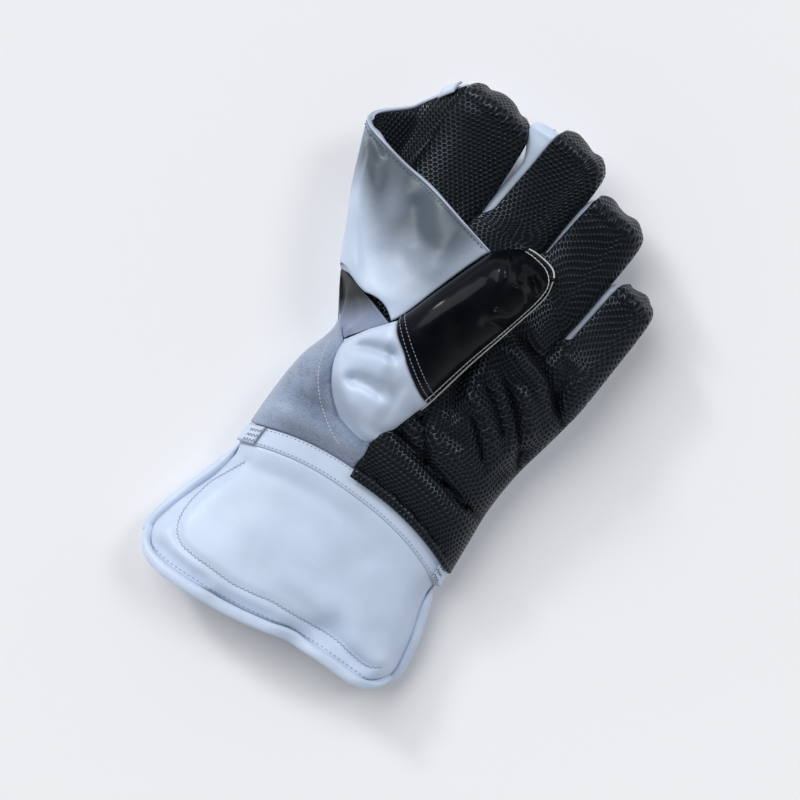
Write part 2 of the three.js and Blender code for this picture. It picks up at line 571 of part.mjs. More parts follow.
// The hole that the thumb opens off, as places on the hand: a little inside the thumb's root ring, so that
// the thumb's wall stands on its edge. t runs from -1 on the web's side to 1.
const HOLE_SCALE = 1 - (2 * RUBBER) / THUMB_WIDTH;
const ringMiddle = thumbForm(0, 0).lerp(thumbForm(1, 0), 0.5);
function holePlace(side, t) {
  const around = side > 0 ? (t + 1) / 2 : (3 - t) / 2;
  const point = thumbForm(around, 0);
  const x = lerp(ringMiddle.x, point.x, HOLE_SCALE);
  const y = lerp(ringMiddle.y, point.y, HOLE_SCALE);
  const { share, along } = handShares(x, y);
  return [aroundOf(share), along];
}

// A run of places on a form through corners, with a count of columns from each corner to the next. The
// places of a whole curve can stand between two corners.
function runOf(legs) {
  const columns = legs.flatMap(({ count, place }) => Array.from({ length: count }, (_, i) => place(i / count)));
  columns.push(legs[legs.length - 1].place(1));
  return columns;
}
const leg = (count, from, to) => ({ count, place: (t) => [lerp(from[0], to[0], t), lerp(from[1], to[1], t)] });
const between = (inner, outer) => (u, v) => {
  const i = Math.round(u * (inner.length - 1));
  return [lerp(inner[i][0], outer[i][0], v), lerp(inner[i][1], outer[i][1], v)];
};

const holeLeft = holePlace(1, -1);
const holeRight = holePlace(1, 1);
const wristCorner = [holeRight[0], 0];
const sideCorner = [0, holeLeft[1]];

// The rubber palm: between the thumb's root and the hand's outline from the wrist hem round to the web.
function addPalm() {
  const knuckles = FINGERS.map((_, i) => {
    const k = FINGERS.length - 1 - i;
    const [from, to] = [crotches[k + 1].x, crotches[k].x].map((x) => (x - HAND_LEFT) / knuckleWidth);
    return { count: KNUCKLE_STEPS, place: (t) => [aroundOf(lerp(from, to, t)), 1] };
  });
  const inner = runOf([
    leg(HEM_STEPS, wristCorner, holeRight),
    { count: STEPS.palm[0] - HEM_STEPS, place: (t) => holePlace(-1, 1 - 2 * t) },
  ]);
  const outer = runOf([
    leg(OUTER_STEPS, [1, 0], [1, 1]),
    ...knuckles,
    leg(WEB_SIDE_STEPS, [0, 1], sideCorner),
  ]);
  const look = { closed: true, knuckle: handKnuckle };
  const grid = gridOf(handForm, between(inner, outer), STEPS.palm, look);
  add("palm_facing", sheet(grid, RUBBER, { draw: { end: SEAM_GAP } }), "blackRubber");
}

// The suede panel: between the thumb's root and the hand's outline from the web round to the rubber.
function addSuede() {
  const half = STEPS.suede[0] / 2;
  const inner = runOf([{ count: STEPS.suede[0], place: (t) => holePlace(1, 2 * t - 1) }]);
  const outer = runOf([leg(half, sideCorner, [0, 0]), leg(half, [0, 0], wristCorner)]);
  const grid = gridOf(handForm, between(inner, outer), STEPS.suede, { closed: true });
  add("wrist_panel", sheet(grid, SUEDE), "suede");
}

// The back of the hand, thick in the middle, from the cuff to the knuckles.
const padding = ({ around }) => lerp(BACK_SIDE, BACK_PAD, Math.sin(Math.PI * around) ** 2);
function addBack() {
  const under = ROWS_UNDER_BAND;
  const place = (u, v) => [1 + u, v < under ? v / under - 1 : (v - under) / (1 - under)];
  const look = { closed: true, range: [-1, 1], knuckle: handKnuckle };
  const grid = gridOf(handForm, place, STEPS.back, look);
  add("hand_back", sheet(grid, padding, { draw: { end: SEAM_GAP } }), "whiteLeather");
}

// A finger: the facing in front and the padded back with the side walls, which meet at the tip's seam.
const taper = (along) => lerp(1, TIP_SHARE, smoothstep(along, TAPER_START, 1));
function addFinger(finger, i) {
  const [across, along] = STEPS.finger;
  const seam = finger.white ? aroundAt(finger.white, finger.width) : 0;
  const look = { closed: true, pointed: true, knuckle: (around, place) => (place < 1 - AT_END ? i : -1) };
  const draw = { end: 2 * SEAM_GAP };
  const rows = (v) => 1 - (1 - v) ** ROW_CROWDING;
  const fold = seam ? [{ count: 2, place: (t) => lerp(2 - seam, 2 + seam, t) }] : [];
  const turns = runOf([{ count: across, place: (t) => lerp(1, 2 - seam, t) }, ...fold]);
  const columns = turns.length - 1;
  const facingPlace = (u, v) => [lerp(1, seam, 1 - u), rows(v)];
  const backPlace = (u, v) => [turns[Math.round(u * columns)], rows(v)];
  const front = gridOf(fingerForm(i), facingPlace, STEPS.finger, look);
  const back = gridOf(fingerForm(i), backPlace, [columns, along], look);
  const rubber = (cell) => RUBBER * taper(cell.along);
  const padded = (cell) => padding(cell) * taper(cell.along);
  add(`${finger.name}_facing`, sheet(front, rubber, { draw }), "blackRubber");
  add(`${finger.name}_back`, sheet(back, padded, { draw }), "whiteLeather");
}

// The thumb: a white base and a glossy cap on its back, and a facing towards the palm.
function addThumb() {
  const look = { closed: true, pointed: true };
  const onPalm = { floor: (x, y) => palmZ(x, y) + SEAM_GAP, draw: { end: 2 * SEAM_GAP } };
  const leather = (cell) => LEATHER * taper(cell.along);
  const rubber = (cell) => RUBBER * taper(cell.along);
  const base = gridOf(thumbForm, strip(0, 1, 0, CAP_START), STEPS.thumbBase, look);
  const cap = gridOf(thumbForm, strip(0, 1, CAP_START, 1), STEPS.thumbCap, look);
  const front = gridOf(thumbForm, strip(1, 2, 0, 1), STEPS.thumbFacing, look);
  add("thumb_base", sheet(base, leather, onPalm), "whiteLeather");
  add("thumb_cap", sheet(cap, leather, onPalm), "glossLeather");
  add("thumb_facing", sheet(front, rubber, onPalm), "blackRubber");
}

// The web: leather outside, rubber inside, a binding over the free edge and a tab under its corner.
function addWeb() {
  const edge = 1 - WEB_BINDING / WEB_LENGTH;
  const look = { flip: -1 };
  const place = (u, v) => [u * lerp(WEB_SHORT, 1, Math.min(2 * v, 1)), edge * v];
  const grid = gridOf(webForm, place, STEPS.web, look);
  const bound = gridOf(webForm, strip(0, 1, edge, 1), STEPS.binding, look);
  const tab = gridOf(webForm, strip(...WEB_TAB), STEPS.webTab, look);
  const inside = -WEB_LEATHER - SEAM_GAP;
  const whole = WEB_LEATHER + SEAM_GAP + WEB_RUBBER;
  const under = { lift: inside - WEB_RUBBER - BINDING_STEP - SEAM_GAP };
  add("web_outer", sheet(grid, WEB_LEATHER), "whiteLeather");
  add("web_lining", sheet(grid, WEB_RUBBER, { lift: inside }), "blackRubber");
  add("web_binding", sheet(bound, whole + 2 * BINDING_STEP, { lift: BINDING_STEP }), "whiteLeather");
  add("web_tab", sheet(tab, TAB_LEATHER, under), "whiteLeather");
}

// The gusset as a form: from its foot on the hand up to the web's lower edge, along the thumb's base.
function gussetForm(u, v) {
  const foot = (at) => {
    const point = handForm(lerp(holeLeft[0], 0, at), lerp(holeLeft[1], WEB_ON_HAND[0] - GUSSET_BELOW, at));
    return point.setX(point.x - GUSSET_CLEAR * Math.sin((at * Math.PI) / 2));
  };
  const point = foot(u).lerp(webForm(u, 0), v);
  const side = thumbForm(0, WEB_ON_THUMB[0] * v).sub(foot(0).lerp(webForm(0, 0), v));
  point.addScaledVector(side, 1 - u);
  point.z -= GUSSET_SAG * Math.sin(Math.PI * u) * Math.sin(Math.PI * v);
  return point;
}
function addGusset() {
  const grid = gridOf(gussetForm, strip(...GUSSET_SPAN), STEPS.gusset, { flip: -1 });
  const floor = (x, y) => (handShares(x, y).share > 0 ? palmZ(x, y) + GUSSET_LIFT : 0);
  add("crotch_gusset", sheet(grid, LEATHER, { floor }), "whiteLeather");
}

// The band over the wrist seam, with a tacked tab over each end.
function addBand() {
  const look = { closed: true, range: [-1, 1] };
  const band = gridOf(handForm, strip(0, 1, -1, 0), STEPS.band, look);
  const over = { lift: BAND_STEP + SEAM_GAP + TAB_LEATHER };
  add("wrist_band", sheet(band, LEATHER, { lift: BAND_STEP }), "whiteLeather");
  for (const [name, span] of Object.entries(BAND_TABS)) {
    const tab = gridOf(handForm, strip(...span, ...TABS_ON_BAND), STEPS.bandTab, look);
    add(`band_tab_${name}`, sheet(tab, TAB_LEATHER, over), "whiteLeather");
  }
}

// The cuff: a front and a back panel, and a rolled rim right round its mouth.
function addCuff() {
  const look = { closed: true, flip: -1 };
  const draw = { end: SEAM_GAP };
  const edge = 1 - RIM_WIDTH / CUFF_LENGTH;
  const front = gridOf(cuffForm, strip(0, 1, 0, edge), STEPS.cuffFront, look);
  const back = gridOf(cuffForm, strip(1, 2, 0, edge), STEPS.cuffBack, look);
  const rim = gridOf(cuffForm, strip(0, 2, edge, 1), STEPS.rim, look);
  add("cuff_front", sheet(front, CUFF_PAD, { draw }), "whiteLeather");
  add("cuff_back", sheet(back, CUFF_PAD, { draw }), "whiteLeather");
  add("cuff_rim", sheet(rim, CUFF_PAD + 2 * RIM_STEP, { lift: RIM_STEP, closed: true }), "whiteLeather");
}

addPalm();
addSuede();
addBack();
FINGERS.forEach(addFinger);
addThumb();
addWeb();
addGusset();
addBand();
addCuff();

export default glove;
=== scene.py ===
"""A left-hand wicketkeeping glove, lying on its back with the palm up and the thumb folded over the palm.

Sizes are in millimetres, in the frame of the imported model: +X runs towards the little finger, +Y towards the
fingertips and +Z out of the palm. Every piece is a sheet of leather or rubber laid over one of the glove's
forms (hand, cuff, fingers, thumb, web), with rounded edges, folds and sewn lines of its own.
"""

from __future__ import annotations

import logging
import math
from collections.abc import Callable, Sequence
from dataclasses import dataclass, field
from enum import Enum
from functools import partial

import bpy
import numpy as np
from mathutils import Matrix, Vector
from mathutils.bvhtree import BVHTree
from mathutils.kdtree import KDTree

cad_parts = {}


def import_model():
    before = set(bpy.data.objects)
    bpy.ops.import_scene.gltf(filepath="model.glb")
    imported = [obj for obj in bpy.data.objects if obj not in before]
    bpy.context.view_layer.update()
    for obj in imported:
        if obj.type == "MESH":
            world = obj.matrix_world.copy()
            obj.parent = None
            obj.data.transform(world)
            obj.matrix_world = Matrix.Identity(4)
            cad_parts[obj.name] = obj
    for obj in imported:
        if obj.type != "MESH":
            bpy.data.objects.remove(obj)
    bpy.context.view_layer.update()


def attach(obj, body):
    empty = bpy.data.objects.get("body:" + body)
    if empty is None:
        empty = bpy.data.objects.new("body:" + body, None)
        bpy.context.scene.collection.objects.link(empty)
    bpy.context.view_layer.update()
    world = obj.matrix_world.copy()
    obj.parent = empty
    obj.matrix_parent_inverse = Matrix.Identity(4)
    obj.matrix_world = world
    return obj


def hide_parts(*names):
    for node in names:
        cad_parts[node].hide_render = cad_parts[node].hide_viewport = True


Array = np.ndarray
Piece = bpy.types.Object
Material = bpy.types.Material
Socket = bpy.types.NodeSocket
Colour = tuple[float, float, float]
Tint = tuple[float, float, float, float]
Pair = tuple[Array, Array]
Place = Callable[[Array, Array], Pair]
Form = Callable[[Array, Array], Array]

METRE = 0.001  # one millimetre, in metres
LEAST_HEIGHT = 0.02  # what a sheet stays above the floor
LEAST_LAYER = 0.5  # what a sheet keeps between its outer side and what it lies on
DROP_HEIGHT = 200.0  # where a line starts its fall on a surface
FAR_FROM_EDGE = 9.0  # the edge distance of a piece that has no cut edge
EDGE_STEPS = (0.06, 0.25, 0.55, 1.0)  # the closer steps over a rounded edge, as shares of its width
EDGE_CLEAR = 1.2  # where the even steps begin, in widths of the rounded edge
TIP_CROWDING = 1.15  # how much closer the rows of a finger stand at its tip
STRAND_END = 0.35  # how narrow a strand is at its ends, as a share of its radius
STITCH_POINTS = 5  # the points along a stitch
PICTURE_UP = (-0.643, 0.766)  # the picture's upward direction, seen from above
LOG = logging.getLogger("glove")


# Curves and small sums


class Profile:
    """Smooth curves through the named columns of a small table, against its column `at`."""

    def __init__(self, at: Sequence[float], **columns: Sequence[float]) -> None:
        """Keeps the table.

        Args:
            at: Where each row lies, rising.
            columns: The values of each named column.
        """
        self.at = np.array(at, float)
        self.columns = {name: np.array(values, float) for name, values in columns.items()}

    def __call__(self, name: str, at: Array | float) -> Array:
        """The column at those places.

        Args:
            name: The column.
            at: Where to read it.

        Returns:
            Its values there, on a smooth curve through the rows.
        """
        x, y = self.at, self.columns[name]
        t = np.clip(np.asarray(at, float), x[0], x[-1])
        high = np.clip(np.searchsorted(x, t, side="left"), 1, len(x) - 1)
        low = high - 1
        before, after = np.maximum(low - 1, 0), np.minimum(high + 1, len(x) - 1)
        slope_low = (y[high] - y[before]) / (x[high] - x[before])
        slope_high = (y[after] - y[low]) / (x[after] - x[low])
        span = x[high] - x[low]
        h = (t - x[low]) / span
        bend = h * (1 - h) * span * (slope_low * (1 - h) - slope_high * h)
        return y[low] + (y[high] - y[low]) * h * h * (3 - 2 * h) + bend


def lerp(a: Array | float, b: Array | float, t: Array | float) -> Array:
    """The value a share t of the way from a to b."""
    return a + (b - a) * t


def smoothstep(t: Array | float, low: float = 0.0, high: float = 1.0) -> Array:
    """A smooth step from 0 at low to 1 at high."""
    h = np.clip((np.asarray(t, float) - low) / (high - low), 0, 1)
    return h * h * (3 - 2 * h)


def stack(x: Array, y: Array, z: Array) -> Array:
    """Points from their three coordinates."""
    return np.stack(np.broadcast_arrays(x, y, z), -1).astype(float)


def unit(vectors: Array) -> Array:
    """The same vectors at length one."""
    return vectors / np.maximum(np.linalg.norm(vectors, axis=-1, keepdims=True), 1e-9)


def smooth_line(corners: Sequence[Sequence[float]], count: int) -> Array:
    """A smooth line through a few points.

    Args:
        corners: The points, each with the same number of coordinates.
        count: How many points the line has.

    Returns:
        The line's points, evenly spread along it.
    """
    rows = np.array(corners, float)
    length = np.concatenate([[0], np.cumsum(np.linalg.norm(np.diff(rows, axis=0), axis=1))])
    curves = Profile(length, **{str(i): rows[:, i] for i in range(rows.shape[1])})
    at = np.linspace(0, length[-1], count)
    return np.stack([curves(str(i), at) for i in range(rows.shape[1])], -1)


def spread(count: int, edge: float = 0.0, low: float = 0.0, high: float = 1.0) -> Array:
    """Even steps from low to high, with closer ones at both ends for a rounded edge.

    Args:
        count: How many even steps.
        edge: The width of the rounded edge, as a share of the whole. 0 adds no closer steps.
        low: The first value.
        high: The last value.

    Returns:
        The rising values.
    """
    even, clear = np.linspace(0, 1, count + 1), edge * EDGE_CLEAR
    near = edge * np.array(EDGE_STEPS if edge else ())
    inner = even[(even > clear) & (even < 1 - clear)]
    return lerp(low, high, np.concatenate([[0], near, inner, 1 - near[::-1], [1]]))


def crowded(steps: Array) -> Array:
    """Steps from 0 to 1, drawn closer together towards 1."""
    return 1 - (1 - steps) ** TIP_CROWDING


# The forms of the glove. around runs from 0 to 1 over a form's upper half, from the thumb's side to the
# little finger's, and on to 2 back under it.


@dataclass(frozen=True)
class Finger:
    """One finger: its sizes, its root's share of the palm's length, and the white strip by its facing."""

    name: str
    width: float
    length: float
    tip: float
    narrow: float
    rise: float
    root: float
    shift: float
    white: float
    white_tip: float
    bulge: float = 0.0


FINGERS = (
    Finger("index", 36.5, 61.5, 31, 1.04, 17, 0.877, -7, 0, 0),
    Finger("middle", 36.5, 60, 31, 0.96, 20, 0.956, 0, 5.2, 5.6, 9.5),
    Finger("ring", 35, 56.5, 30, 0.98, 17, 1.0, 0.3, 3.2, 3.2),
    Finger("little", 29, 50.5, 25, 0.9, 13, 0.835, 0, 5.0, 5.6),
)

HAND_SIDES = Profile(
    at=(0.0, 0.15, 0.28, 0.43, 0.56, 0.69, 0.82, 1.0),
    left=(0.131, 0.117, 0.117, 0.142, 0.066, 0.015, 0.0, 0.0),
    right=(1.029, 1.0, 0.976, 0.971, 0.985, 0.997, 1.0, 1.0),
)
HAND_HEIGHTS = Profile(
    at=(0.0, 0.2, 0.5, 0.8, 1.0),
    top=(0.78, 0.92, 1.0, 0.96, 0.85),
    edge=(0.33, 0.38, 0.47, 0.6, 0.69),
    bottom=(0.04, 0.0, 0.0, 0.0, 0.02),
)
CUFF_SECTIONS = Profile(
    at=(0.0, 0.22, 0.5, 0.8, 0.93, 1.0),
    left=(0.062, 0.055, 0.025, 0.0, 0.0, 0.012),
    right=(0.904, 0.93, 0.972, 1.0, 0.998, 0.985),
    top=(0.96, 0.9, 0.92, 1.0, 1.0, 0.98),
    edge=(0.4, 0.36, 0.33, 0.32, 0.32, 0.34),
    bottom=(0.05, 0.0, 0.0, 0.0, 0.0, 0.0),
)
CUFF_RIM = Profile(
    at=(0.0, 0.02, 0.05, 0.09, 0.15, 0.29, 0.43, 0.57, 0.62, 0.69, 0.76, 0.9, 0.95, 0.98, 1.0),
    y=(
        -139, -143.5, -146.4, -147.8, -148, -145.4, -141.2, -135.2,
        -133, -131.4, -130, -128.4, -127, -124, -119,
    ),
)
FINGER_SECTIONS = Profile(
    at=(0.0, 0.3, 0.55, 0.7, 0.82, 0.92, 1.0),
    seam_at=(0.0, 0.33, 0.62, 0.77, 0.87, 0.92, 0.945),
    seam=(0.8, 0.8, 0.8, 0.78, 0.7, 0.57, 0.42),
    crest_at=(0.0, 0.33, 0.63, 0.8, 0.91, 0.965, 1.0),
    crest=(1.0, 1.0, 1.0, 0.99, 0.87, 0.64, 0.38),
    sole_at=(0.0, 0.33, 0.63, 0.79, 0.89, 0.955, 1.0),
    sole=(0.0, 0.0, 0.0, 0.03, 0.08, 0.18, 0.38),
    wide=(1.0, 1.0, 0.99, 0.97, 0.93, 0.86, 0.72),
)
THUMB_SECTIONS = Profile(
    at=(0.0, 0.18, 0.34, 0.54, 0.72, 0.88, 1.0),
    web_x=(-0.67, -0.44, -0.22, -0.06, 0.08, 0.2, 0.44),
    web_y=(0.09, 0.215, 0.33, 0.56, 0.76, 0.875, 0.96),
    web_lift=(0, 0.28, 0.42, 0.48, 0.48, 0.45, 0.38),
    seam_x=(0.67, 0.75, 0.83, 0.92, 1.03, 1.11, 1.03),
    seam_y=(-0.15, -0.02, 0.115, 0.39, 0.64, 0.855, 0.96),
    seam_lift=(0, 0.12, 0.18, 0.2, 0.22, 0.25, 0.28),
    back_x=(-0.06, -0.03, 0.2, 0.39, 0.56, 0.67, 0.74),
    back_y=(-0.235, 0.0, 0.195, 0.465, 0.7, 0.89, 1.0),
    back_lift=(0, 0.55, 0.86, 0.98, 1.0, 0.9, 0.32),
    palm_x=(0.19, 0.3, 0.44, 0.53, 0.64, 0.72, 0.74),
    palm_y=(0.21, 0.27, 0.37, 0.54, 0.72, 0.87, 1.0),
    palm_lift=(0.015, 0.03, 0.035, 0.035, 0.035, 0.05, 0.32),
)
WEB_SECTIONS = Profile(
    at=(0.0, 0.25, 0.5, 0.75, 1.0),
    out=(0.0, 0.25, 0.54, 0.79, 1.0),
    along=(0.0, 0.25, 0.5, 0.77, 1.0),
    up=(0.84, 0.91, 0.95, 1.0, 1.0),
    crown=(7, 8, 9, 9, 8.5),
    sag=(2, 5, 9, 11, 12),
)


@dataclass(frozen=True)
class Fold:
    """A fold in a sheet, seen from above: a valley along a line, or a ridge where depth is negative."""

    start: tuple[float, float]
    end: tuple[float, float]
    wide: float
    depth: float
    bow: float = 0.0

    def at(self, x: Array, y: Array) -> Array:
        """How far the fold presses the surface down at those places.

        Args:
            x: X there.
            y: Y there.

        Returns:
            The depth.
        """
        run = np.array(self.end) - np.array(self.start)
        length = float(np.hypot(*run))
        c, s = run / length
        t = ((x - self.start[0]) * c + (y - self.start[1]) * s) / length
        off = (y - self.start[1]) * c - (x - self.start[0]) * s - self.bow * 4 * t * (1 - t)
        ends = smoothstep(0.62 - np.abs(t - 0.5), 0, 0.34)
        return self.depth * ends * np.exp(-((off / self.wide) ** 2))


def pressed_down(folds: Sequence[Fold], x: Array, y: Array) -> Array:
    """How far several folds together press a surface down."""
    return sum((fold.at(x, y) for fold in folds), np.zeros_like(np.asarray(x, float)))


def turn_of(around: Array) -> Pair:
    """The side of a form, 1 above and -1 below, and the place across it from -1 to 1."""
    lap = np.mod(around, 2.0)
    return np.where(lap <= 1, 1.0, -1.0), np.where(lap <= 1, 2 * lap - 1, 3 - 2 * lap)


def share_of(across: Array) -> Array:
    """The share of the width at a place across."""
    return (1 + np.sin(across * math.pi / 2)) / 2


def around_of(share: Array) -> Array:
    """The place around the upper half at a share of the width."""
    return 0.5 + np.arcsin(np.clip(2 * np.asarray(share) - 1, -1, 1)) / math.pi


def round_height(share: Array, fullness: float) -> Array:
    """The height of half a rounded section at a share of its half-width."""
    return np.maximum(0, 1 - np.abs(share) ** fullness) ** (1 / fullness)


def rail_point(rails: dict[str, Array], around: Array, fullness: Array) -> Array:
    """A point of the section between four rails: left and right sides, crest and sole.

    Args:
        rails: A point of each rail, by name.
        around: The place around the section.
        fullness: How full its corners are; 2 is an ellipse.

    Returns:
        The points.
    """
    side, across = turn_of(around)
    angle = across * math.pi / 2
    power = 2 / fullness
    out = np.sign(across) * np.abs(np.sin(angle)) ** power
    up = np.where(np.abs(across) >= 1, 0, np.maximum(np.cos(angle), 0) ** power)
    middle = (rails["left"] + rails["right"]) / 2
    far = np.where(side[..., None] > 0, rails["crest"], rails["sole"])
    return middle + (rails["right"] - rails["left"]) * out[..., None] / 2 + (far - middle) * up[..., None]


@dataclass(frozen=True)
class HandForm:
    """The hand from the wrist band to the knuckles, and the cuff and the fingers that go on from it."""

    left: float = -60
    wrist_y: float = -63
    length: float = 158
    height: float = 47
    wrist_bow: float = 13
    wrist_skew: float = 8
    band: float = 12
    parting: float = 0.84
    top_fullness: float = 2.6
    back_fullness: float = 3.4
    press: float = 1.2
    seam_gap: float = 0.3
    outer_root: float = 0.753
    cuff_length: float = 74
    cuff_height: float = 38
    cuff_left: float = -51
    cuff_width: float = 146
    cuff_fullness: float = 2.5
    lobe: float = 0.75
    ridge: float = 2.2
    ridge_at: float = 0.79
    ridge_width: float = 0.045
    wave: float = 0.8
    crease_folds: tuple[Fold, ...] = (
        Fold((2, -14), (86, -26), 3.0, 4.2, -0.8),
        Fold((8, -27), (84, -35), 6.0, -2.0, -1.0),
        Fold((26, 58), (80, 35), 3.6, 3.6, 5.0),
        Fold((35, 38), (74, 4), 3.6, 4.0, 6.0),
        Fold((32, 29), (60, 12), 3.0, 2.8, 2.0),
        Fold((38, 14), (60, -4), 3.2, 2.6, 1.0),
        Fold((14, -1), (38, -20), 3.2, 3.0, 2.0),
        Fold((56, 66), (70, 38), 3.4, 2.6, 1.5),
        Fold((72, 26), (66, -8), 4.0, 2.0, 0.0),
        Fold((21, 38), (32, 4), 5.0, 3.0, -3.0),
        Fold((28, 49), (62, 44), 4.0, -2.4, 2.0),
        Fold((28, 22), (58, 6), 3.0, -1.9, 1.0),
        Fold((20, -7), (50, -8), 5.0, -2.4, -1.5),
        Fold((46, 38), (68, 20), 3.6, -2.0, 3.0),
        Fold((50, 72), (64, 52), 3.4, -1.4, 0.5),
    )
    cuff_folds: tuple[Fold, ...] = (
        Fold((38, -138), (60, -106), 9.0, 4.6, 0.0),
        Fold((76, -138), (92, -106), 8.0, -3.0, 0.0),
        Fold((-4, -140), (30, -130), 4.0, 1.3, 1.0),
        Fold((24, -113), (94, -121), 6.0, 3.4, 0.0),
        Fold((-44, -138), (-8, -137), 3.5, 1.6, -1.0),
        Fold((-47, -90), (-44, -126), 3.0, 1.4, -1.0),
        Fold((-30, -78), (34, -66), 5.0, 1.2, 4.0),
        Fold((46, -78), (70, -100), 8.0, -0.9, 0.0),
        Fold((-20, -104), (36, -88), 12.0, -1.2, 3.0),
    )
    suede_folds: tuple[Fold, ...] = (
        Fold((-38, -46), (12, -36), 3.6, -4.6, 2.0),
        Fold((-40, -36), (10, -29), 3.4, 2.4, 2.0),
        Fold((-42, -12), (-30, -34), 3.0, 0.9, 0.0),
        Fold((-34, -20), (-8, -33), 5.0, -0.8, -2.0),
    )

    @property
    def width(self) -> float:
        """The width over the knuckles."""
        return sum(finger.width for finger in FINGERS)

    @property
    def crotches(self) -> Array:
        """X and Y of the knuckle line's corners, from the thumb's side.

        Returns:
            One row for each corner.
        """
        x = self.left + np.cumsum([0, *[finger.width for finger in FINGERS]])
        roots = [finger.root for finger in FINGERS] + [self.outer_root]
        return np.stack([x, self.wrist_y + np.array(roots) * self.length], -1)

    def pressed(self, z: Array) -> Array:
        """The height of what rests on the floor, which is pressed flat."""
        return np.maximum(z - self.press, 0)

    def finger_at(self, share: Array) -> Pair:
        """The finger whose root lies at a share of the hand's width.

        Args:
            share: The share of the width.

        Returns:
            The finger's number and the place within it, from 0 to 1.
        """
        x, corners = self.left + share * self.width, self.crotches
        i = np.clip(np.searchsorted(corners[1:, 0], x, side="left"), 0, len(FINGERS) - 1)
        return i, np.clip((x - corners[i, 0]) / (corners[i + 1, 0] - corners[i, 0]), 0, 1)

    def wrist_line(self, share: Array) -> Array:
        """Y of the wrist line at a share of the width."""
        bow = self.wrist_bow * (1 - np.abs(2 * share - 1) ** 2.4)
        return self.wrist_y + (share - 0.5) * self.wrist_skew + bow

    def knuckle_line(self, share: Array) -> Array:
        """Y of the knuckle line at a share of the width.

        Args:
            share: The share of the width.

        Returns:
            Y there.
        """
        i, within = self.finger_at(share)
        corners = self.crotches
        return lerp(corners[i, 1], corners[i + 1, 1], within)

    def plan(self, share: Array, along: Array) -> Pair:
        """X and Y of the hand at a share of its width and a place along it.

        Args:
            share: The share of the width.
            along: From 0 at the wrist band to 1 at the knuckles.

        Returns:
            X and Y.
        """
        y = lerp(self.wrist_line(share) + self.band / 2, self.knuckle_line(share), along)
        at = (y - self.wrist_y) / self.length
        return self.left + self.width * lerp(HAND_SIDES("left", at), HAND_SIDES("right", at), share), y

    def shares(self, x: Array, y: Array) -> Pair:
        """The place across and along the hand that lies at X and Y.

        Args:
            x: X there.
            y: Y there.

        Returns:
            The share of the width and the place along, both from 0 to 1.
        """
        at = (y - self.wrist_y) / self.length
        left, right = HAND_SIDES("left", at), HAND_SIDES("right", at)
        share = np.clip(((x - self.left) / self.width - left) / (right - left), 0, 1)
        start = self.wrist_line(share) + self.band / 2
        return share, np.clip((y - start) / (self.knuckle_line(share) - start), 0, 1)

    def palm_height(self, share: Array, along: Array, x: Array, y: Array) -> Array:
        """The palm's height: one arch, which parts into an arch for each finger at the knuckles.

        Args:
            share: The share of the width.
            along: The place along the hand.
            x: X there.
            y: Y there.

        Returns:
            The height.
        """
        parted = smoothstep(along, self.parting, 1)
        _, within = self.finger_at(share)
        hand = round_height(2 * share - 1, self.top_fullness)
        arch = lerp(hand, round_height(2 * within - 1, self.top_fullness), parted)
        down = pressed_down(self.crease_folds + self.suede_folds, x, y) * np.minimum(1, 3 * arch)
        return self.height * lerp(HAND_HEIGHTS("edge", along), HAND_HEIGHTS("top", along), arch) - down

    def palm_z(self, x: Array, y: Array) -> Array:
        """The palm's height at X and Y."""
        share, along = self.shares(x, y)
        return self.palm_height(share, along, x, y)

    def back_depth(self, share: Array, along: Array) -> Array:
        """The back's depth, from 0 at its sides to 1.

        Args:
            share: The share of the width.
            along: The place along the hand.

        Returns:
            The depth.
        """
        i, within = self.finger_at(share)
        outer = ((i == 0) & (within < 0.5)) | ((i == len(FINGERS) - 1) & (within > 0.5))
        finger = np.where(outer, round_height(2 * within - 1, self.back_fullness), 1.0)
        hand = round_height(2 * share - 1, self.back_fullness)
        return lerp(hand, finger, smoothstep(along, self.parting, 1))

    def hand(self, around: Array, along: Array) -> Array:
        """The hand's surface.

        Args:
            around: The place around it.
            along: From 0 at the wrist band to 1 at the knuckles, and from -1 to 0 over the band.

        Returns:
            The points.
        """
        side, across = turn_of(around)
        share, above = share_of(across), np.maximum(along, 0)
        x, y = self.plan(share, above)
        depth = self.back_depth(share, above)
        low = self.height * lerp(HAND_HEIGHTS("edge", above), HAND_HEIGHTS("bottom", above), depth)
        under = lerp(low, self.pressed(low), depth)
        points = stack(x, y, np.where(side > 0, self.palm_height(share, above, x, y), under))
        over_band = np.clip(along + 1, 0, 1)[..., None]
        start = self.cuff(around, np.zeros_like(above))
        return np.where(over_band < 1, lerp(start, points, over_band), points)

    def cuff(self, around: Array, along: Array) -> Array:
        """The cuff's surface, from the wrist band to the rim.

        Args:
            around: The place around it.
            along: From 0 at the band to 1 at the rim.

        Returns:
            The points.
        """
        s = CUFF_SECTIONS
        side, across = turn_of(around)
        share = share_of(across)
        y = lerp(self.wrist_line(share) - self.band / 2, CUFF_RIM("y", share), along)
        x = self.cuff_left + self.cuff_width * lerp(s("left", along), s("right", along), share)
        edge = s("edge", along)
        arch = round_height(2 * share - 1, self.cuff_fullness)
        top = self.cuff_height * lerp(edge, s("top", along), arch)
        top = top - pressed_down(self.cuff_folds, x, y) * np.minimum(1, 3 * arch)
        depth = round_height(2 * share - 1, self.back_fullness)
        low = self.cuff_height * lerp(edge, s("bottom", along), depth)
        return stack(x, y, np.where(side > 0, top, lerp(low, self.pressed(low), depth)))

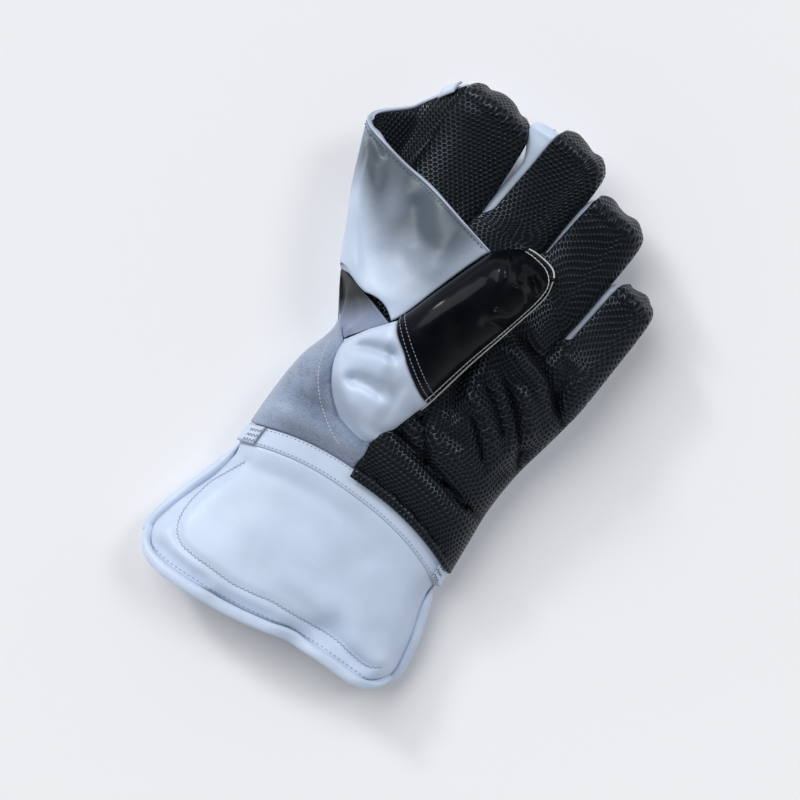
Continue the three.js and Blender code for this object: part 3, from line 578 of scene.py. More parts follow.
    def finger(self, index: int, around: Array, along: Array) -> Array:
        """A finger's surface, from the knuckle line to the seam across its tip.

        Args:
            index: The finger's number.
            around: The place around it.
            along: From 0 at the knuckles to 1 at the tip.

        Returns:
            The points.
        """
        finger, s = FINGERS[index], FINGER_SECTIONS
        start, end = self.crotches[index], self.crotches[index + 1]
        bottom = self.pressed(self.height * HAND_HEIGHTS("bottom", 1.0))
        top = self.height * HAND_HEIGHTS("top", 1.0)
        slant = (end[1] - start[1]) * (1 - smoothstep(along, 0, 0.5))
        wide = s("wide", along) - 2 * self.seam_gap / finger.width

        def place(at: Array, share: Array, half: Array) -> Array:
            """A point of a rail.

            Args:
                at: The place along the finger.
                share: The share of the height.
                half: The place across, from -1 to 1.

            Returns:
                The point.
            """
            out = half * finger.width * lerp(1, finger.narrow, at)
            return stack(
                (start[0] + end[0] + out) / 2 + finger.shift * at,
                (start[1] + end[1] + half * slant) / 2 + finger.length * at,
                bottom + finger.rise * at * at + share * lerp(top - bottom, finger.tip, at),
            )

        rails = {
            "left": place(s("seam_at", along), s("seam", along), -wide),
            "right": place(s("seam_at", along), s("seam", along), wide),
            "crest": place(s("crest_at", along), s("crest", along), np.zeros_like(wide)),
            "sole": place(s("sole_at", along), s("sole", along), np.zeros_like(wide)),
        }
        side, _ = turn_of(around)
        return rail_point(rails, around, np.where(side > 0, self.top_fullness, self.back_fullness))

    def crinkled(self, index: int, around: Array, along: Array) -> Array:
        """A finger's surface with the small lobes across its end and the ridge before it.

        Args:
            index: The finger's number.
            around: The place around it.
            along: From 0 at the knuckles to 1 at the tip.

        Returns:
            The points.
        """
        points = self.finger(index, around, along)
        side, across = turn_of(around)
        above = np.where(side > 0, 1.0, 0.0) * np.clip(1 - across**2, 0, 1)
        lobes = np.cos(across * math.pi * 2.6 + 1.3 * index) + 0.4 * np.cos(across * 5.1 + index)
        points[..., 1] += self.lobe * lobes * (1 - across**4) * smoothstep(along, 0.8, 0.97)
        points[..., 2] += above * self.ridge * np.exp(-(((along - self.ridge_at) / self.ridge_width) ** 2))
        wave = np.cos(across * math.pi * 2.2 + 2 * index) * smoothstep(along, 0.6, 0.8)
        points[..., 2] += above * self.wave * wave
        bulge = smoothstep(-across, 0.35, 1.0) * smoothstep(along, 0.48, 0.8)
        points[..., 0] -= FINGERS[index].bulge * (bulge * (1 - 0.7 * smoothstep(along, 0.86, 1.0)))
        return points


@dataclass(frozen=True)
class ThumbForm:
    """The thumb, from its root ring on the palm to its tip. Its upper half is its back."""

    hand: HandForm
    x: float = -11
    y: float = -8
    length: float = 103
    width: float = 36
    thickness: float = 32
    fullness: float = 2.3
    cap_start: float = 0.34
    ring_blend: float = 0.08
    fold_depth: float = 2.1
    folds: tuple[Fold, ...] = (
        Fold((-28, 2), (-6, 11), 3.4, 2.9, 1.5),
        Fold((-22, -13), (2, -8), 3.6, 2.6, 2.0),
        Fold((-30, -8), (-6, -22), 3.2, -1.3, -2.0),
        Fold((-22, 22), (-6, -2), 3.6, -1.2, 0.0),
        Fold((2, 4), (8, -20), 3.5, 1.0, 0.0),
        Fold((12, 50), (25, 55), 2.4, 1.7, 0.0),
        Fold((14, 57), (24, 62), 2.2, -1.3, 0.0),
        Fold((16, 84), (26, 78), 2.2, 1.9, 0.0),
        Fold((8, 91), (15, 75), 2.2, 1.6, 0.0),
        Fold((1, 86), (10, 70), 2.6, -1.4, 0.0),
        Fold((14, 76), (25, 70), 2.4, -1.2, 0.0),
        Fold((4, 40), (18, 30), 4.0, 0.5, 0.0),
    )

    def __call__(self, around: Array, along: Array) -> Array:
        """The thumb's surface.

        Args:
            around: The place around it.
            along: From 0 at its root to 1 at its tip.

        Returns:
            The points.
        """
        s = THUMB_SECTIONS

        def rail(name: str) -> Array:
            """One of the thumb's rails, which stands on the palm."""
            px = self.x + s(f"{name}_x", along) * self.width
            py = self.y + s(f"{name}_y", along) * self.length
            return stack(px, py, self.hand.palm_z(px, py) + s(f"{name}_lift", along) * self.thickness)

        rails = {"left": rail("web"), "right": rail("seam"), "crest": rail("back"), "sole": rail("palm")}
        points = rail_point(rails, around, np.full_like(along, self.fullness))
        ring = self.hand.palm_z(points[..., 0], points[..., 1]) + self.hand.seam_gap
        points[..., 2] = lerp(ring, np.maximum(points[..., 2], ring), smoothstep(along, 0, self.ring_blend))
        above = np.sin(math.pi * np.clip(around, 0, 1)) ** 0.5 * smoothstep(along, 0, 0.15)
        points[..., 2] -= self.fold_depth * pressed_down(self.folds, points[..., 0], points[..., 1]) * above
        return points

    @property
    def root(self) -> Array:
        """The middle of the ring that the thumb opens off."""
        return self(np.array([0.0, 1.0]), np.zeros(2)).mean(0)


@dataclass(frozen=True)
class WebForm:
    """The web: a sheet folded over on itself, from the thumb, over the fold, to the hand and index finger."""

    hand: HandForm
    thumb: ThumbForm
    reach: float = 36
    length: float = 64
    fold_z: float = 43
    start_y: float = 29
    clear: float = 1
    on_thumb: tuple[float, float] = (0.3, 0.86)
    on_hand: tuple[float, float] = (0.58, 1.0)
    on_index: float = 0.9
    hand_share: float = 0.45
    folds: tuple[Fold, ...] = (
        Fold((-72, 104), (-34, 36), 13.0, 10.0, 2.0),
        Fold((-86, 80), (-46, 24), 5.0, -5.0, -4.0),
        Fold((-90, 88), (-76, 80), 3.0, 2.2, 0.0),
        Fold((-52, 78), (-30, 60), 6.0, 2.6, -1.0),
        Fold((-24, 84), (-22, 50), 6.0, -1.5, 0.0),
    )
    # Painted shade over the web: dark over its upper part and in its folds, and less along the lit band beside
    # the fold.
    greys: tuple[Fold, ...] = (
        Fold((-100, 82), (-4, 84), 24.0, 0.95, 0.0),
        Fold((-88, 88), (-58, 54), 5.0, 0.35, 1.0),
        Fold((-58, 92), (-22, 62), 8.0, 0.35, 2.0),
        Fold((-56, 66), (-14, 44), 14.0, 0.45, 0.0),
        Fold((-82, 72), (-44, 24), 5.0, -0.35, -3.0),
    )

    def __call__(self, around: Array, along: Array) -> Array:
        """The web's surface.

        Args:
            around: From 0 at the thumb to 1 at the hand.
            along: From 0 at the crotch to 1 at the free edge.

        Returns:
            The points.
        """
        s, zero = WEB_SECTIONS, np.zeros_like(along)
        side = self.thumb(zero, lerp(*self.on_thumb, along))
        at_hand = self.hand.hand(zero, lerp(*self.on_hand, np.minimum(along / self.hand_share, 1)))
        on = np.clip((along - self.hand_share) / (1 - self.hand_share), 0, 1) * self.on_index
        far_side = np.where((along < self.hand_share)[..., None], at_hand, self.hand.finger(0, zero, on))
        fold = stack(
            self.hand.left - self.reach * s("out", along),
            self.start_y + self.length * s("along", along),
            self.fold_z * s("up", along),
        )
        side[..., 0] -= self.clear
        far_side[..., 0] -= self.clear
        near, far = (side + fold) / 2, (fold + far_side) / 2
        near[..., 2] += s("crown", along)
        far[..., 2] -= s("sag", along)
        knots = np.stack((side, near, fold, far, far_side))
        last = len(knots) - 1
        t = np.clip(around, 0, 1) * last
        low = np.clip(np.ceil(t).astype(int), 1, last) - 1
        h = (t - low)[..., None]
        grid = np.indices(low.shape)

        def knot(number: Array) -> Array:
            """The knot of that number at each place."""
            return knots[(np.clip(number, 0, last), *grid)]

        a, b = knot(low), knot(low + 1)
        slope_a = (b - knot(low - 1)) / np.where(low > 0, 2, 1)[..., None]
        slope_b = (knot(low + 2) - a) / np.where(low < last - 1, 2, 1)[..., None]
        points = a + (b - a) * h * h * (3 - 2 * h) + h * (1 - h) * (slope_a * (1 - h) - slope_b * h)
        points[..., 2] -= pressed_down(self.folds, points[..., 0], points[..., 1]) * (around < 0.5)
        return points


# Meshes


def nearest(points: Sequence[Sequence[float]]) -> KDTree:
    """A tree that finds the nearest of some points.

    Args:
        points: The points.

    Returns:
        The tree.
    """
    tree = KDTree(len(points))
    for i, point in enumerate(points):
        tree.insert(point, i)
    tree.balance()
    return tree


@dataclass
class Patch:
    """An open surface: its points and faces, and the flat place of each point in millimetres."""

    points: Array
    faces: Array
    flat: Array

    @classmethod
    def over(cls, form: Form, u: Array, v: Array, place: Place | None = None, flip: bool = False) -> Patch:
        """A grid laid over a form.

        Args:
            form: Gives the points.
            u: Steps across the grid.
            v: Steps along it.
            place: Gives the form's parameters for u and v. Without it they are u and v.
            flip: Turns the faces over.

        Returns:
            The patch, with its outer side where its faces point.
        """
        uu, vv = np.meshgrid(u, v)
        around, along = place(uu, vv) if place else (uu, vv)
        points = form(around, along)
        rows, columns = uu.shape
        across = np.linalg.norm(np.diff(points, axis=1), axis=-1)
        down = np.linalg.norm(np.diff(points, axis=0), axis=-1)
        flat_u = np.concatenate([np.zeros((rows, 1)), np.cumsum(across, 1)], 1)
        flat_u -= flat_u[:, columns // 2][:, None]
        flat_v = np.concatenate([np.zeros((1, columns)), np.cumsum(down, 0)], 0)
        corner = (np.arange(rows - 1)[:, None] * columns + np.arange(columns - 1)).ravel()
        faces = np.stack([corner, corner + 1, corner + columns + 1, corner + columns], -1)
        if flip:
            faces = faces[:, ::-1]
        return cls(points.reshape(-1, 3), faces, np.stack([flat_u, flat_v], -1).reshape(-1, 2))

    def joined(self, other: Patch, pairs: Array) -> Patch:
        """This patch and another, sewn into one.

        Args:
            other: The other patch.
            pairs: Rows of a point here and the point of the other that becomes the same.

        Returns:
            The whole, with the points of the pairs at this patch's places.
        """
        count = len(self.points)
        index = np.full(len(other.points), -1)
        index[pairs[:, 1]] = pairs[:, 0]
        free = index < 0
        index[free] = count + np.arange(free.sum())
        return Patch(
            np.concatenate([self.points, other.points[free]]),
            np.concatenate([self.faces, index[other.faces]]),
            np.concatenate([self.flat, other.flat[free]]),
        )

    def facing(self) -> Array:
        """The direction out of each face, as long as twice its area."""
        a, b, c, d = (self.points[self.faces[:, k]] for k in range(4))
        return np.cross(c - a, d - b)

    def sides(self) -> Array:
        """The sides of the faces, as pairs of points in the order of their faces."""
        return np.stack([self.faces, np.roll(self.faces, -1, 1)], -1).reshape(-1, 2)

    def normals(self) -> Array:
        """The outward direction at each point.

        Returns:
            One row for each point.
        """
        facing = self.facing()
        total = np.zeros_like(self.points)
        for k in range(4):
            np.add.at(total, self.faces[:, k], facing)
        return unit(total)

    def relaxed(self, near: Array, times: int) -> Patch:
        """The same patch with some points drawn to the middle of their neighbours.

        Args:
            near: How far each point follows, from 0 to 1.
            times: How often.

        Returns:
            The smoother patch.
        """
        edges = np.unique(np.sort(self.sides(), 1), axis=0)
        count = np.bincount(edges.ravel(), minlength=len(self.points))[:, None]
        points = self.points.copy()
        for _ in range(times):
            total = np.zeros_like(points)
            np.add.at(total, edges[:, 0], points[edges[:, 1]])
            np.add.at(total, edges[:, 1], points[edges[:, 0]])
            points = lerp(points, total / np.maximum(count, 1), near[:, None])
        return Patch(points, self.faces, self.flat)

    def grooved(self, line: Array, depth: float, wide: float) -> Patch:
        """The same patch with its upper side drawn down along a line.

        Args:
            line: The line's points, seen from above.
            depth: How deep it is drawn.
            wide: How far to each side.

        Returns:
            The patch with the groove.
        """
        tree = nearest([(row[0], row[1], 0) for row in line])
        near = np.array([tree.find((p[0], p[1], 0))[2] for p in self.points])
        points = self.points - self.normals() * (depth * np.exp(-((near / wide) ** 2)))[:, None]
        return Patch(points, self.faces, self.flat)

    def border(self) -> Array:
        """The border's edges, as pairs of points in the order of their faces.

        Returns:
            One row for each edge.
        """
        edges = self.sides()
        key = np.sort(edges, 1)
        order = np.lexsort((key[:, 1], key[:, 0]))
        ranked = key[order]
        same = np.all(ranked[1:] == ranked[:-1], 1)
        alone = np.ones(len(ranked), bool)
        alone[1:] &= ~same
        alone[:-1] &= ~same
        return edges[order[alone]]

    def edge_distance(self) -> Array:
        """How far each point lies from the patch's border, in millimetres.

        Returns:
            One distance for each point.
        """
        border = self.border()
        if not len(border):
            return np.full(len(self.points), 1e3)
        a, b = self.points[border[:, 0]], self.points[border[:, 1]]
        tree = nearest((a + b) / 2)
        near = np.array([[hit[1] for hit in tree.find_n(p, 3)] for p in self.points])
        start, run = a[near], (b - a)[near]
        own = self.points[:, None] - start
        t = np.clip((own * run).sum(-1) / np.maximum((run * run).sum(-1), 1e-12), 0, 1)
        return np.linalg.norm(own - run * t[..., None], axis=-1).min(1)


@dataclass(frozen=True)
class Cut:
    """How a sheet is cut and sewn: its thickness, how it lies on its form and how it sinks to its seams."""

    thickness: float
    lift: float = 0.0
    sink: float = 0.0
    sink_width: float = 4.0


def shell(name: str, patch: Patch, cut: Cut, material: Material, floor: Form | None = None) -> Piece:
    """A closed sheet with rounded edges over a patch.

    Args:
        name: The piece's name.
        patch: The surface that it lies on.
        cut: Its thickness and edges.
        material: Its finish.
        floor: Gives the height that the sheet stays above, from X and Y.

    Returns:
        The object, with the flat places as UVs and the distance from the edge as an attribute.
    """
    normals, distance = patch.normals(), patch.edge_distance()
    half = cut.thickness / 2
    rim = np.clip(distance / half, 0, 1)
    rounded = half * (1 - np.sqrt(np.maximum(0, 1 - (1 - rim) ** 2)))
    sunk = cut.sink * np.exp(-((distance / cut.sink_width) ** 2))
    outer = patch.points + normals * (cut.lift - rounded - sunk)[:, None]
    inner = patch.points + normals * (cut.lift - cut.thickness + rounded - sunk)[:, None]
    if floor:
        least = floor(outer[:, 0], outer[:, 1])
        outer[:, 2] = np.maximum(outer[:, 2], least + LEAST_LAYER)
        inner[:, 2] = np.maximum(inner[:, 2], least)
    outer[:, 2] = np.maximum(outer[:, 2], LEAST_HEIGHT)
    inner[:, 2] = np.maximum(inner[:, 2], LEAST_HEIGHT)
    on_border = np.zeros(len(outer), bool)
    on_border[patch.border().ravel()] = True
    index = np.arange(len(outer))
    index[~on_border] = len(outer) + np.arange((~on_border).sum())
    points = np.concatenate([outer, inner[~on_border]])
    faces = np.concatenate([patch.faces, index[patch.faces][:, ::-1]])
    flat = np.concatenate([patch.flat, patch.flat[~on_border]])
    edge = np.concatenate([distance, distance[~on_border]])
    return mesh_object(name, points, faces, material, flat=flat, edge=edge)


def keep(mesh: bpy.types.Mesh, label: str, values: Array) -> None:
    """Keeps a number for each point of a mesh, which its finish reads by the label."""
    mesh.attributes.new(label, "FLOAT", "POINT").data.foreach_set("value", values.astype(np.float32))


def mesh_object(
    name: str,
    points: Array,
    faces: Array,
    material: Material,
    flat: Array | None = None,
    **attributes: Array,
) -> Piece:
    """A smooth mesh object.

    Args:
        name: Its name.
        points: Its points, in millimetres.
        faces: Its four-sided faces.
        material: Its finish.
        flat: A flat place in millimetres for each point, kept as the UV map.
        attributes: A number for each point, by name.

    Returns:
        The object, linked into the scene and riding on the glove.
    """
    mesh = bpy.data.meshes.new(name)
    count = len(faces)
    mesh.vertices.add(len(points))
    mesh.vertices.foreach_set("co", (points * METRE).astype(np.float32).ravel())
    mesh.loops.add(count * 4)
    mesh.loops.foreach_set("vertex_index", faces.astype(np.int32).ravel())
    mesh.polygons.add(count)
    mesh.polygons.foreach_set("loop_start", np.arange(0, count * 4, 4, dtype=np.int32))
    mesh.polygons.foreach_set("use_smooth", np.ones(count, bool))
    mesh.update(calc_edges=True)
    if flat is not None:
        layer = mesh.uv_layers.new(name="flat")
        layer.uv.foreach_set("vector", (flat[faces.ravel()] * METRE).astype(np.float32).ravel())
    for label, values in attributes.items():
        keep(mesh, label, values)
    mesh.validate()
    mesh.materials.append(material)
    made = bpy.data.objects.new(name, mesh)
    bpy.context.scene.collection.objects.link(made)
    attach(made, "root")
    return made


def tubes(
    lines: Sequence[Array],
    radius: float | Array,
    sides: int = 6,
    flatten: float = 1.0,
    ups: Sequence[Array] | None = None,
) -> Pair:
    """Round strands along lines, closed at both ends.

    Args:
        lines: The middle line of each strand.
        radius: Their radius, the same all along or one for each point.
        sides: How many sides a strand has.
        flatten: The height of a strand as a share of its width.
        ups: The direction away from the surface under each line.

    Returns:
        Points and four-sided faces.
    """
    points, faces, base = [], [], 0
    turn = np.arange(sides) * 2 * math.pi / sides
    for k, line in enumerate(lines):
        run = unit(np.gradient(line, axis=0))
        up = ups[k] if ups is not None else np.array([0.0, 0.0, 1.0])
        side = unit(np.cross(run, up))
        top = unit(np.cross(side, run))
        cap = np.ones(len(line))
        cap[0] = cap[-1] = STRAND_END
        cap = cap * radius
        ring = np.cos(turn)[:, None] * side[:, None] + flatten * np.sin(turn)[:, None] * top[:, None]
        points.append((line[:, None] + cap[:, None, None] * ring).reshape(-1, 3))
        rows = len(line)
        j, i = np.meshgrid(np.arange(rows - 1), np.arange(sides), indexing="ij")
        a = base + j * sides + i
        b = base + j * sides + (i + 1) % sides
        faces.append(np.stack([a, b, b + sides, a + sides], -1).reshape(-1, 4))
        q = np.arange(sides // 2 - 1)
        end = np.stack([q, q + 1, sides - 2 - q, sides - 1 - q], -1)
        for row, order in ((0, -1), (rows - 1, 1)):
            faces.append(base + row * sides + end[:, ::order])
        base += rows * sides
    return np.concatenate(points), np.concatenate(faces)


def rolled(
    name: str,
    line: Array,
    radius: float | Array,
    material: Material,
    sides: int = 8,
    flatten: float = 1.0,
    up: Array | None = None,
    slot: str = "white_leather",
    **shades: float,
) -> Piece:
    """A bead or a piping along one line.

    Args:
        name: The piece's name.
        line: Its middle line.
        radius: Its radius, the same all along or one for each point.
        material: Its finish.
        sides: How many sides it has.
        flatten: Its height as a share of its width.
        up: The direction away from the surface under each point.
        slot: Not used.
        shades: A number for all its points, by the label that its finish reads.

    Returns:
        The piece.
    """
    points, faces = tubes([line], radius, sides, flatten, None if up is None else [up])
    labels = {label: np.full(len(points), value) for label, value in shades.items()}
    made = mesh_object(name, points, faces, material, **labels)
    return made


class Surface:
    """The outer side of built pieces, to lay seams and stitches on."""

    def __init__(self, *pieces: Piece) -> None:
        """Reads the pieces' meshes.

        Args:
            pieces: The pieces.
        """
        points, faces, base = [], [], 0
        for piece in pieces:
            mesh = piece.data
            points += [v.co / METRE for v in mesh.vertices]
            faces += [[base + i for i in p.vertices] for p in mesh.polygons]
            base = len(points)
        self.tree = BVHTree.FromPolygons(points, faces)

    def drop(self, line: Array) -> Pair:
        """Lets a line fall on the surface.

        Args:
            line: Points in plan, or in space.

        Returns:
            The points where the line meets the surface and the directions out of it there.
        """
        found, facing = [], []
        for row in line:
            start = Vector((row[0], row[1], DROP_HEIGHT))
            hit, normal, _, _ = self.tree.ray_cast(start, Vector((0, 0, -1)))
            if hit is not None:
                found.append(hit)
                facing.append(normal)
        return np.array(found), np.array(facing)


def ahead(points: Array, step: float) -> Array:
    """Points every step millimetres along a line, as places in its list of points.

    Args:
        points: The line.
        step: The distance between them.

    Returns:
        The places, rising.
    """
    length = np.concatenate([[0], np.cumsum(np.linalg.norm(np.diff(points, axis=0), axis=1))])
    count = max(int(length[-1] / step), 1)
    return np.interp(np.linspace(0, length[-1], count + 1), length, np.arange(len(points)))


def along_line(values: Array, places: Array) -> Array:
    """The values of a line at places in its list."""
    steps = np.arange(len(values))
    return np.stack([np.interp(places, steps, column) for column in values.T], -1)


class Stitch(Enum):
    """How a seam is sewn."""

    RUNNING = "running"
    ZIGZAG = "zigzag"


@dataclass(frozen=True)
class Seam:
    """A sewn line: the stitches' pitch and length, the thread's radius and the kind of stitch."""

    pitch: float = 2.6
    length: float = 1.9
    thread: float = 0.28
    kind: Stitch = Stitch.RUNNING
    width: float = 1.8
    rise: float = 0.9
    sink: float = 0.35

    def sew(self, name: str, lines: Sequence[Pair], material: Material) -> Piece:
        """Sews stitches along lines that lie on a surface.

        Args:
            name: The piece's name.
            lines: Each line's points and the directions out of the surface.
            material: The thread.

        Returns:
            The stitches as one object.
        """
        strands, ups = [], []
        for points, normals in lines:
            places = ahead(points, self.pitch)
            for k, (a, b) in enumerate(zip(places[:-1], places[1:])):
                share = self.length / self.pitch
                span = np.linspace(a, a + (b - a) * share, STITCH_POINTS)
                middle, up = along_line(points, span), unit(along_line(normals, span))
                if self.kind is Stitch.ZIGZAG:
                    run = unit(middle[-1:] - middle[:1])
                    side = unit(np.cross(run, up))
                    swing = np.linspace(-0.5, 0.5, STITCH_POINTS)[:, None] * (1 if k % 2 else -1)
                    middle = middle + side * swing * self.width
                bulge = np.sin(np.linspace(0, math.pi, STITCH_POINTS))[:, None]
                strands.append(middle + up * self.thread * (self.rise * bulge - self.sink))
                ups.append(up)
        points, faces = tubes(strands, self.thread, sides=6, ups=ups)
        made = mesh_object(name, points, faces, material)
        LOG.info("%s: %d stitches", name, len(strands))
        return made


# Finishes


class Graph:
    """A material's nodes, made by naming their inputs."""

    def __init__(self, name: str) -> None:
        """Starts an empty material.

        Args:
            name: Its name.
        """
        self.material = bpy.data.materials.new(name)
        self.material.use_nodes = True
        self.tree = self.material.node_tree
        self.tree.nodes.clear()

    def node(
        self, kind: str, inputs: dict[str | int, object] | None = None, **settings: object
    ) -> bpy.types.Node:
        """Adds a node.

        Args:
            kind: Its Blender type.
            inputs: A value or another node's output for each named or numbered input.
            settings: The node's own settings.

        Returns:
            The node.
        """
        made = self.tree.nodes.new(kind)
        for key, value in settings.items():
            setattr(made, key, value)
        for key, value in (inputs or {}).items():
            if isinstance(value, Socket):
                self.tree.links.new(value, made.inputs[key])
            else:
                made.inputs[key].default_value = value
        return made

    def math(self, operation: str, *values: object, clamp: bool = False) -> Socket:
        """The result of a sum on numbers or outputs."""
        made = self.node("ShaderNodeMath", dict(enumerate(values)), operation=operation, use_clamp=clamp)
        return made.outputs[0]

    def vector(self, operation: str, *values: object, output: str = "Vector") -> Socket:
        """The result of a sum on vectors."""
        made = self.node("ShaderNodeVectorMath", dict(enumerate(values)), operation=operation)
        return made.outputs[output]

    def place(self) -> Socket:
        """The place on the object, in metres."""
        return self.node("ShaderNodeTexCoord").outputs["Object"]

    def attribute(self, label: str) -> Socket:
        """The number that a piece keeps by that label."""
        return self.node("ShaderNodeAttribute", attribute_name=label).outputs["Fac"]

    def noise(self, scale: float, detail: float = 4.0, rough: float = 0.55, distort: float = 0.0) -> Socket:
        """Noise over the object, by its place in metres."""
        size = {"Scale": scale, "Detail": detail, "Roughness": rough, "Distortion": distort}
        return self.node("ShaderNodeTexNoise", {"Vector": self.place(), **size}).outputs["Fac"]

    def cells(self, scale: float, feature: str = "DISTANCE_TO_EDGE") -> Socket:
        """Cells over the object, by its place in metres."""
        inputs = {"Vector": self.place(), "Scale": scale}
        return self.node("ShaderNodeTexVoronoi", inputs, feature=feature).outputs["Distance"]

    def ramp(self, value: Socket, stops: Sequence[tuple[float, Sequence[float]]]) -> Socket:
        """Colours by a value.

        Args:
            value: From 0 to 1.
            stops: Places and their colours.

        Returns:
            The colour's output.
        """
        made = self.node("ShaderNodeValToRGB", {"Fac": value})
        ramp = made.color_ramp
        while len(ramp.elements) < len(stops):
            ramp.elements.new(0.5)
        for element, (place, colour) in zip(ramp.elements, stops):
            element.position, element.color = place, (*colour, 1.0)
        return made.outputs["Color"]

    def mix(self, share: object, a: object, b: object, blend: str = "MIX") -> Socket:
        """A mix of two colours.

        Args:
            share: How much of the second shows.
            a: The first.
            b: The second.
            blend: How they mix.

        Returns:
            The colour's output.
        """
        made = self.node("ShaderNodeMix", data_type="RGBA", blend_type=blend)
        for key, value in ((0, share), (6, a), (7, b)):
            if isinstance(value, Socket):
                self.tree.links.new(value, made.inputs[key])
            else:
                made.inputs[key].default_value = value if key == 0 else (*value, 1.0)
        return made.outputs[2]

    def bump(
        self, height: Socket, distance: float, strength: float = 1.0, under: Socket | None = None
    ) -> Socket:
        """A bump by a height.

        Args:
            height: From 0 to 1.
            distance: What 1 stands for, in millimetres.
            strength: How strongly it shows.
            under: A bump under this one.

        Returns:
            The normal's output.
        """
        inputs = {"Height": height, "Distance": distance * METRE, "Strength": strength}
        if under is not None:
            inputs["Normal"] = under
        return self.node("ShaderNodeBump", inputs).outputs["Normal"]

    def shade(self, **inputs: object) -> Material:
        """Ends the material with a shader.

        Args:
            inputs: A value or an output for each of the shader's inputs, with _ for a space.

        Returns:
            The material.
        """
        named = {key.replace("_", " "): value for key, value in inputs.items()}
        shader = self.node("ShaderNodeBsdfPrincipled", named)
        self.node("ShaderNodeOutputMaterial", {"Surface": shader.outputs["BSDF"]})
        return self.material


@dataclass(frozen=True)
class WhiteLeather:
    """Soft white leather with a cool cast and a fine grain, with painted shade along its edges, in its hollows
    and dents and between the fingers.
    """

    name: str = "white_leather"
    light: Colour = (0.56, 0.66, 0.83)
    shade: Colour = (0.50, 0.59, 0.745)
    # the colour of the painted shade along each piece's edges
    seam: Colour = (0.24, 0.27, 0.34)
    # the colour of the painted shade in hollows, dents and between the fingers
    hollow: Colour = (0.075, 0.10, 0.13)
    roughness: float = 0.42
    wrinkle: float = 0.25
    grain: float = 0.05
    edge_width: float = 1.4
    edge_grey: float = 0.75

    def material(self) -> Material:
        """The finish as nodes.

        Returns:
            The material.
        """
        g = Graph(self.name)
        cloud = g.noise(38, 3, 0.5)
        tint = g.ramp(cloud, ((0.3, self.shade), (0.62, self.light)))
        # Painted shade: the colour darkens towards the edge colour near each piece's edge, and towards the
        # shade colour by the painted shade that each piece keeps.
        inside = g.math("DIVIDE", g.attribute("edge"), self.edge_width)
        near = g.math("SMOOTH_MAX", g.math("SUBTRACT", 1.0, inside), 0.0, 0.1, clamp=True)
        hollow = g.attribute("hollow")
        colour = g.mix(hollow, g.mix(g.math("MULTIPLY", near, self.edge_grey), tint, self.seam), self.hollow)
        grain = g.cells(1500)
        creases = g.noise(170, 5, 0.6, 0.6)
        normal = g.bump(creases, self.wrinkle, 0.8)
        normal = g.bump(grain, self.grain, 0.6, normal)
        rough = g.math("MULTIPLY_ADD", g.noise(300, 2), 0.14, self.roughness - 0.07)
        return g.shade(
            Base_Color=colour, Roughness=rough, Normal=normal, Sheen_Weight=0.15, Sheen_Roughness=0.4
        )


@dataclass(frozen=True)
class DimpledRubber:
    """Near-black rubber moulded with close rows of six-sided dimples."""

    name: str = "dimpled_rubber"
    pitch: float = 2.5
    rim: Colour = (0.002, 0.0024, 0.0034)
    pit: Colour = (0.0055, 0.008, 0.0105)
    tint: Tint = (0.72, 0.86, 1.0, 1.0)
    roughness: float = 0.26
    depth: float = 0.55
    wall_foot: float = 0.2
    wall_top: float = 0.47
    cells_added: float = 50.0  # because MODULO needs places above 0

    def material(self) -> Material:
        """The finish as nodes.

        Returns:
            The material.
        """
        g = Graph(self.name)
        flat = g.node("ShaderNodeUVMap", uv_map="flat").outputs["UV"]
        place = g.vector("MULTIPLY", flat, (1 / METRE / self.pitch,) * 3)
        cell = (1.0, math.sqrt(3.0), 1.0)
        half = tuple(size / 2 for size in cell)
        away = []
        for cells in (self.cells_added, self.cells_added + 0.5):
            moved = g.vector("ADD", place, (cells * cell[0], cells * cell[1], 0.0))
            wrapped = g.vector("MODULO", moved, cell)
            offset = g.vector("MULTIPLY", g.vector("SUBTRACT", wrapped, half), (1.0, 1.0, 0.0))
            away.append(g.vector("LENGTH", offset, output="Value"))
        near = g.math("MINIMUM", *away)
        span = {"Value": near, "From Min": self.wall_foot, "From Max": self.wall_top}
        wall = g.node("ShaderNodeMapRange", span, interpolation_type="SMOOTHSTEP").outputs["Result"]
        worn = g.noise(60, 3)
        rim = g.ramp(worn, ((0.35, tuple(0.6 * c for c in self.rim)), (0.7, self.rim)))
        colour = g.mix(wall, self.pit, rim)
        normal = g.bump(g.noise(500, 3), 0.12, 0.5)
        normal = g.bump(wall, self.depth, 0.9, normal)
        rough = g.math("MULTIPLY_ADD", wall, -0.3, self.roughness + 0.3)
        shine = g.math("MULTIPLY_ADD", wall, 0.42, 0.08)
        return g.shade(
            Base_Color=colour,
            Roughness=rough,
            Normal=normal,
            Specular_IOR_Level=shine,
            Specular_Tint=self.tint,
        )


@dataclass(frozen=True)
class PatentLeather:
    """Black leather with a glossy coat that is softly wrinkled."""

    name: str = "patent_leather"
    colour: Colour = (0.001, 0.0013, 0.002)
    dust: Colour = (0.003, 0.004, 0.006)
    tint: Tint = (0.6, 0.75, 1.0, 1.0)
    roughness: float = 0.4

    def material(self) -> Material:
        """The finish as nodes.

        Returns:
            The material.
        """
        g = Graph(self.name)
        dust = g.noise(90, 4)
        colour = g.ramp(dust, ((0.4, self.colour), (0.75, self.dust)))
        soft = g.bump(g.noise(34, 2, 0.4, 0.5), 0.4, 0.6)
        fine = g.bump(g.noise(700, 4), 0.05, 0.35, soft)
        rough = g.math("MULTIPLY_ADD", dust, 0.12, self.roughness - 0.06)
        return g.shade(
            Base_Color=colour,
            Roughness=rough,
            Normal=fine,
            Specular_IOR_Level=0.05,
            Specular_Tint=self.tint,
            Coat_Weight=0.16,
            Coat_Roughness=0.13,
            Coat_Normal=soft,
        )


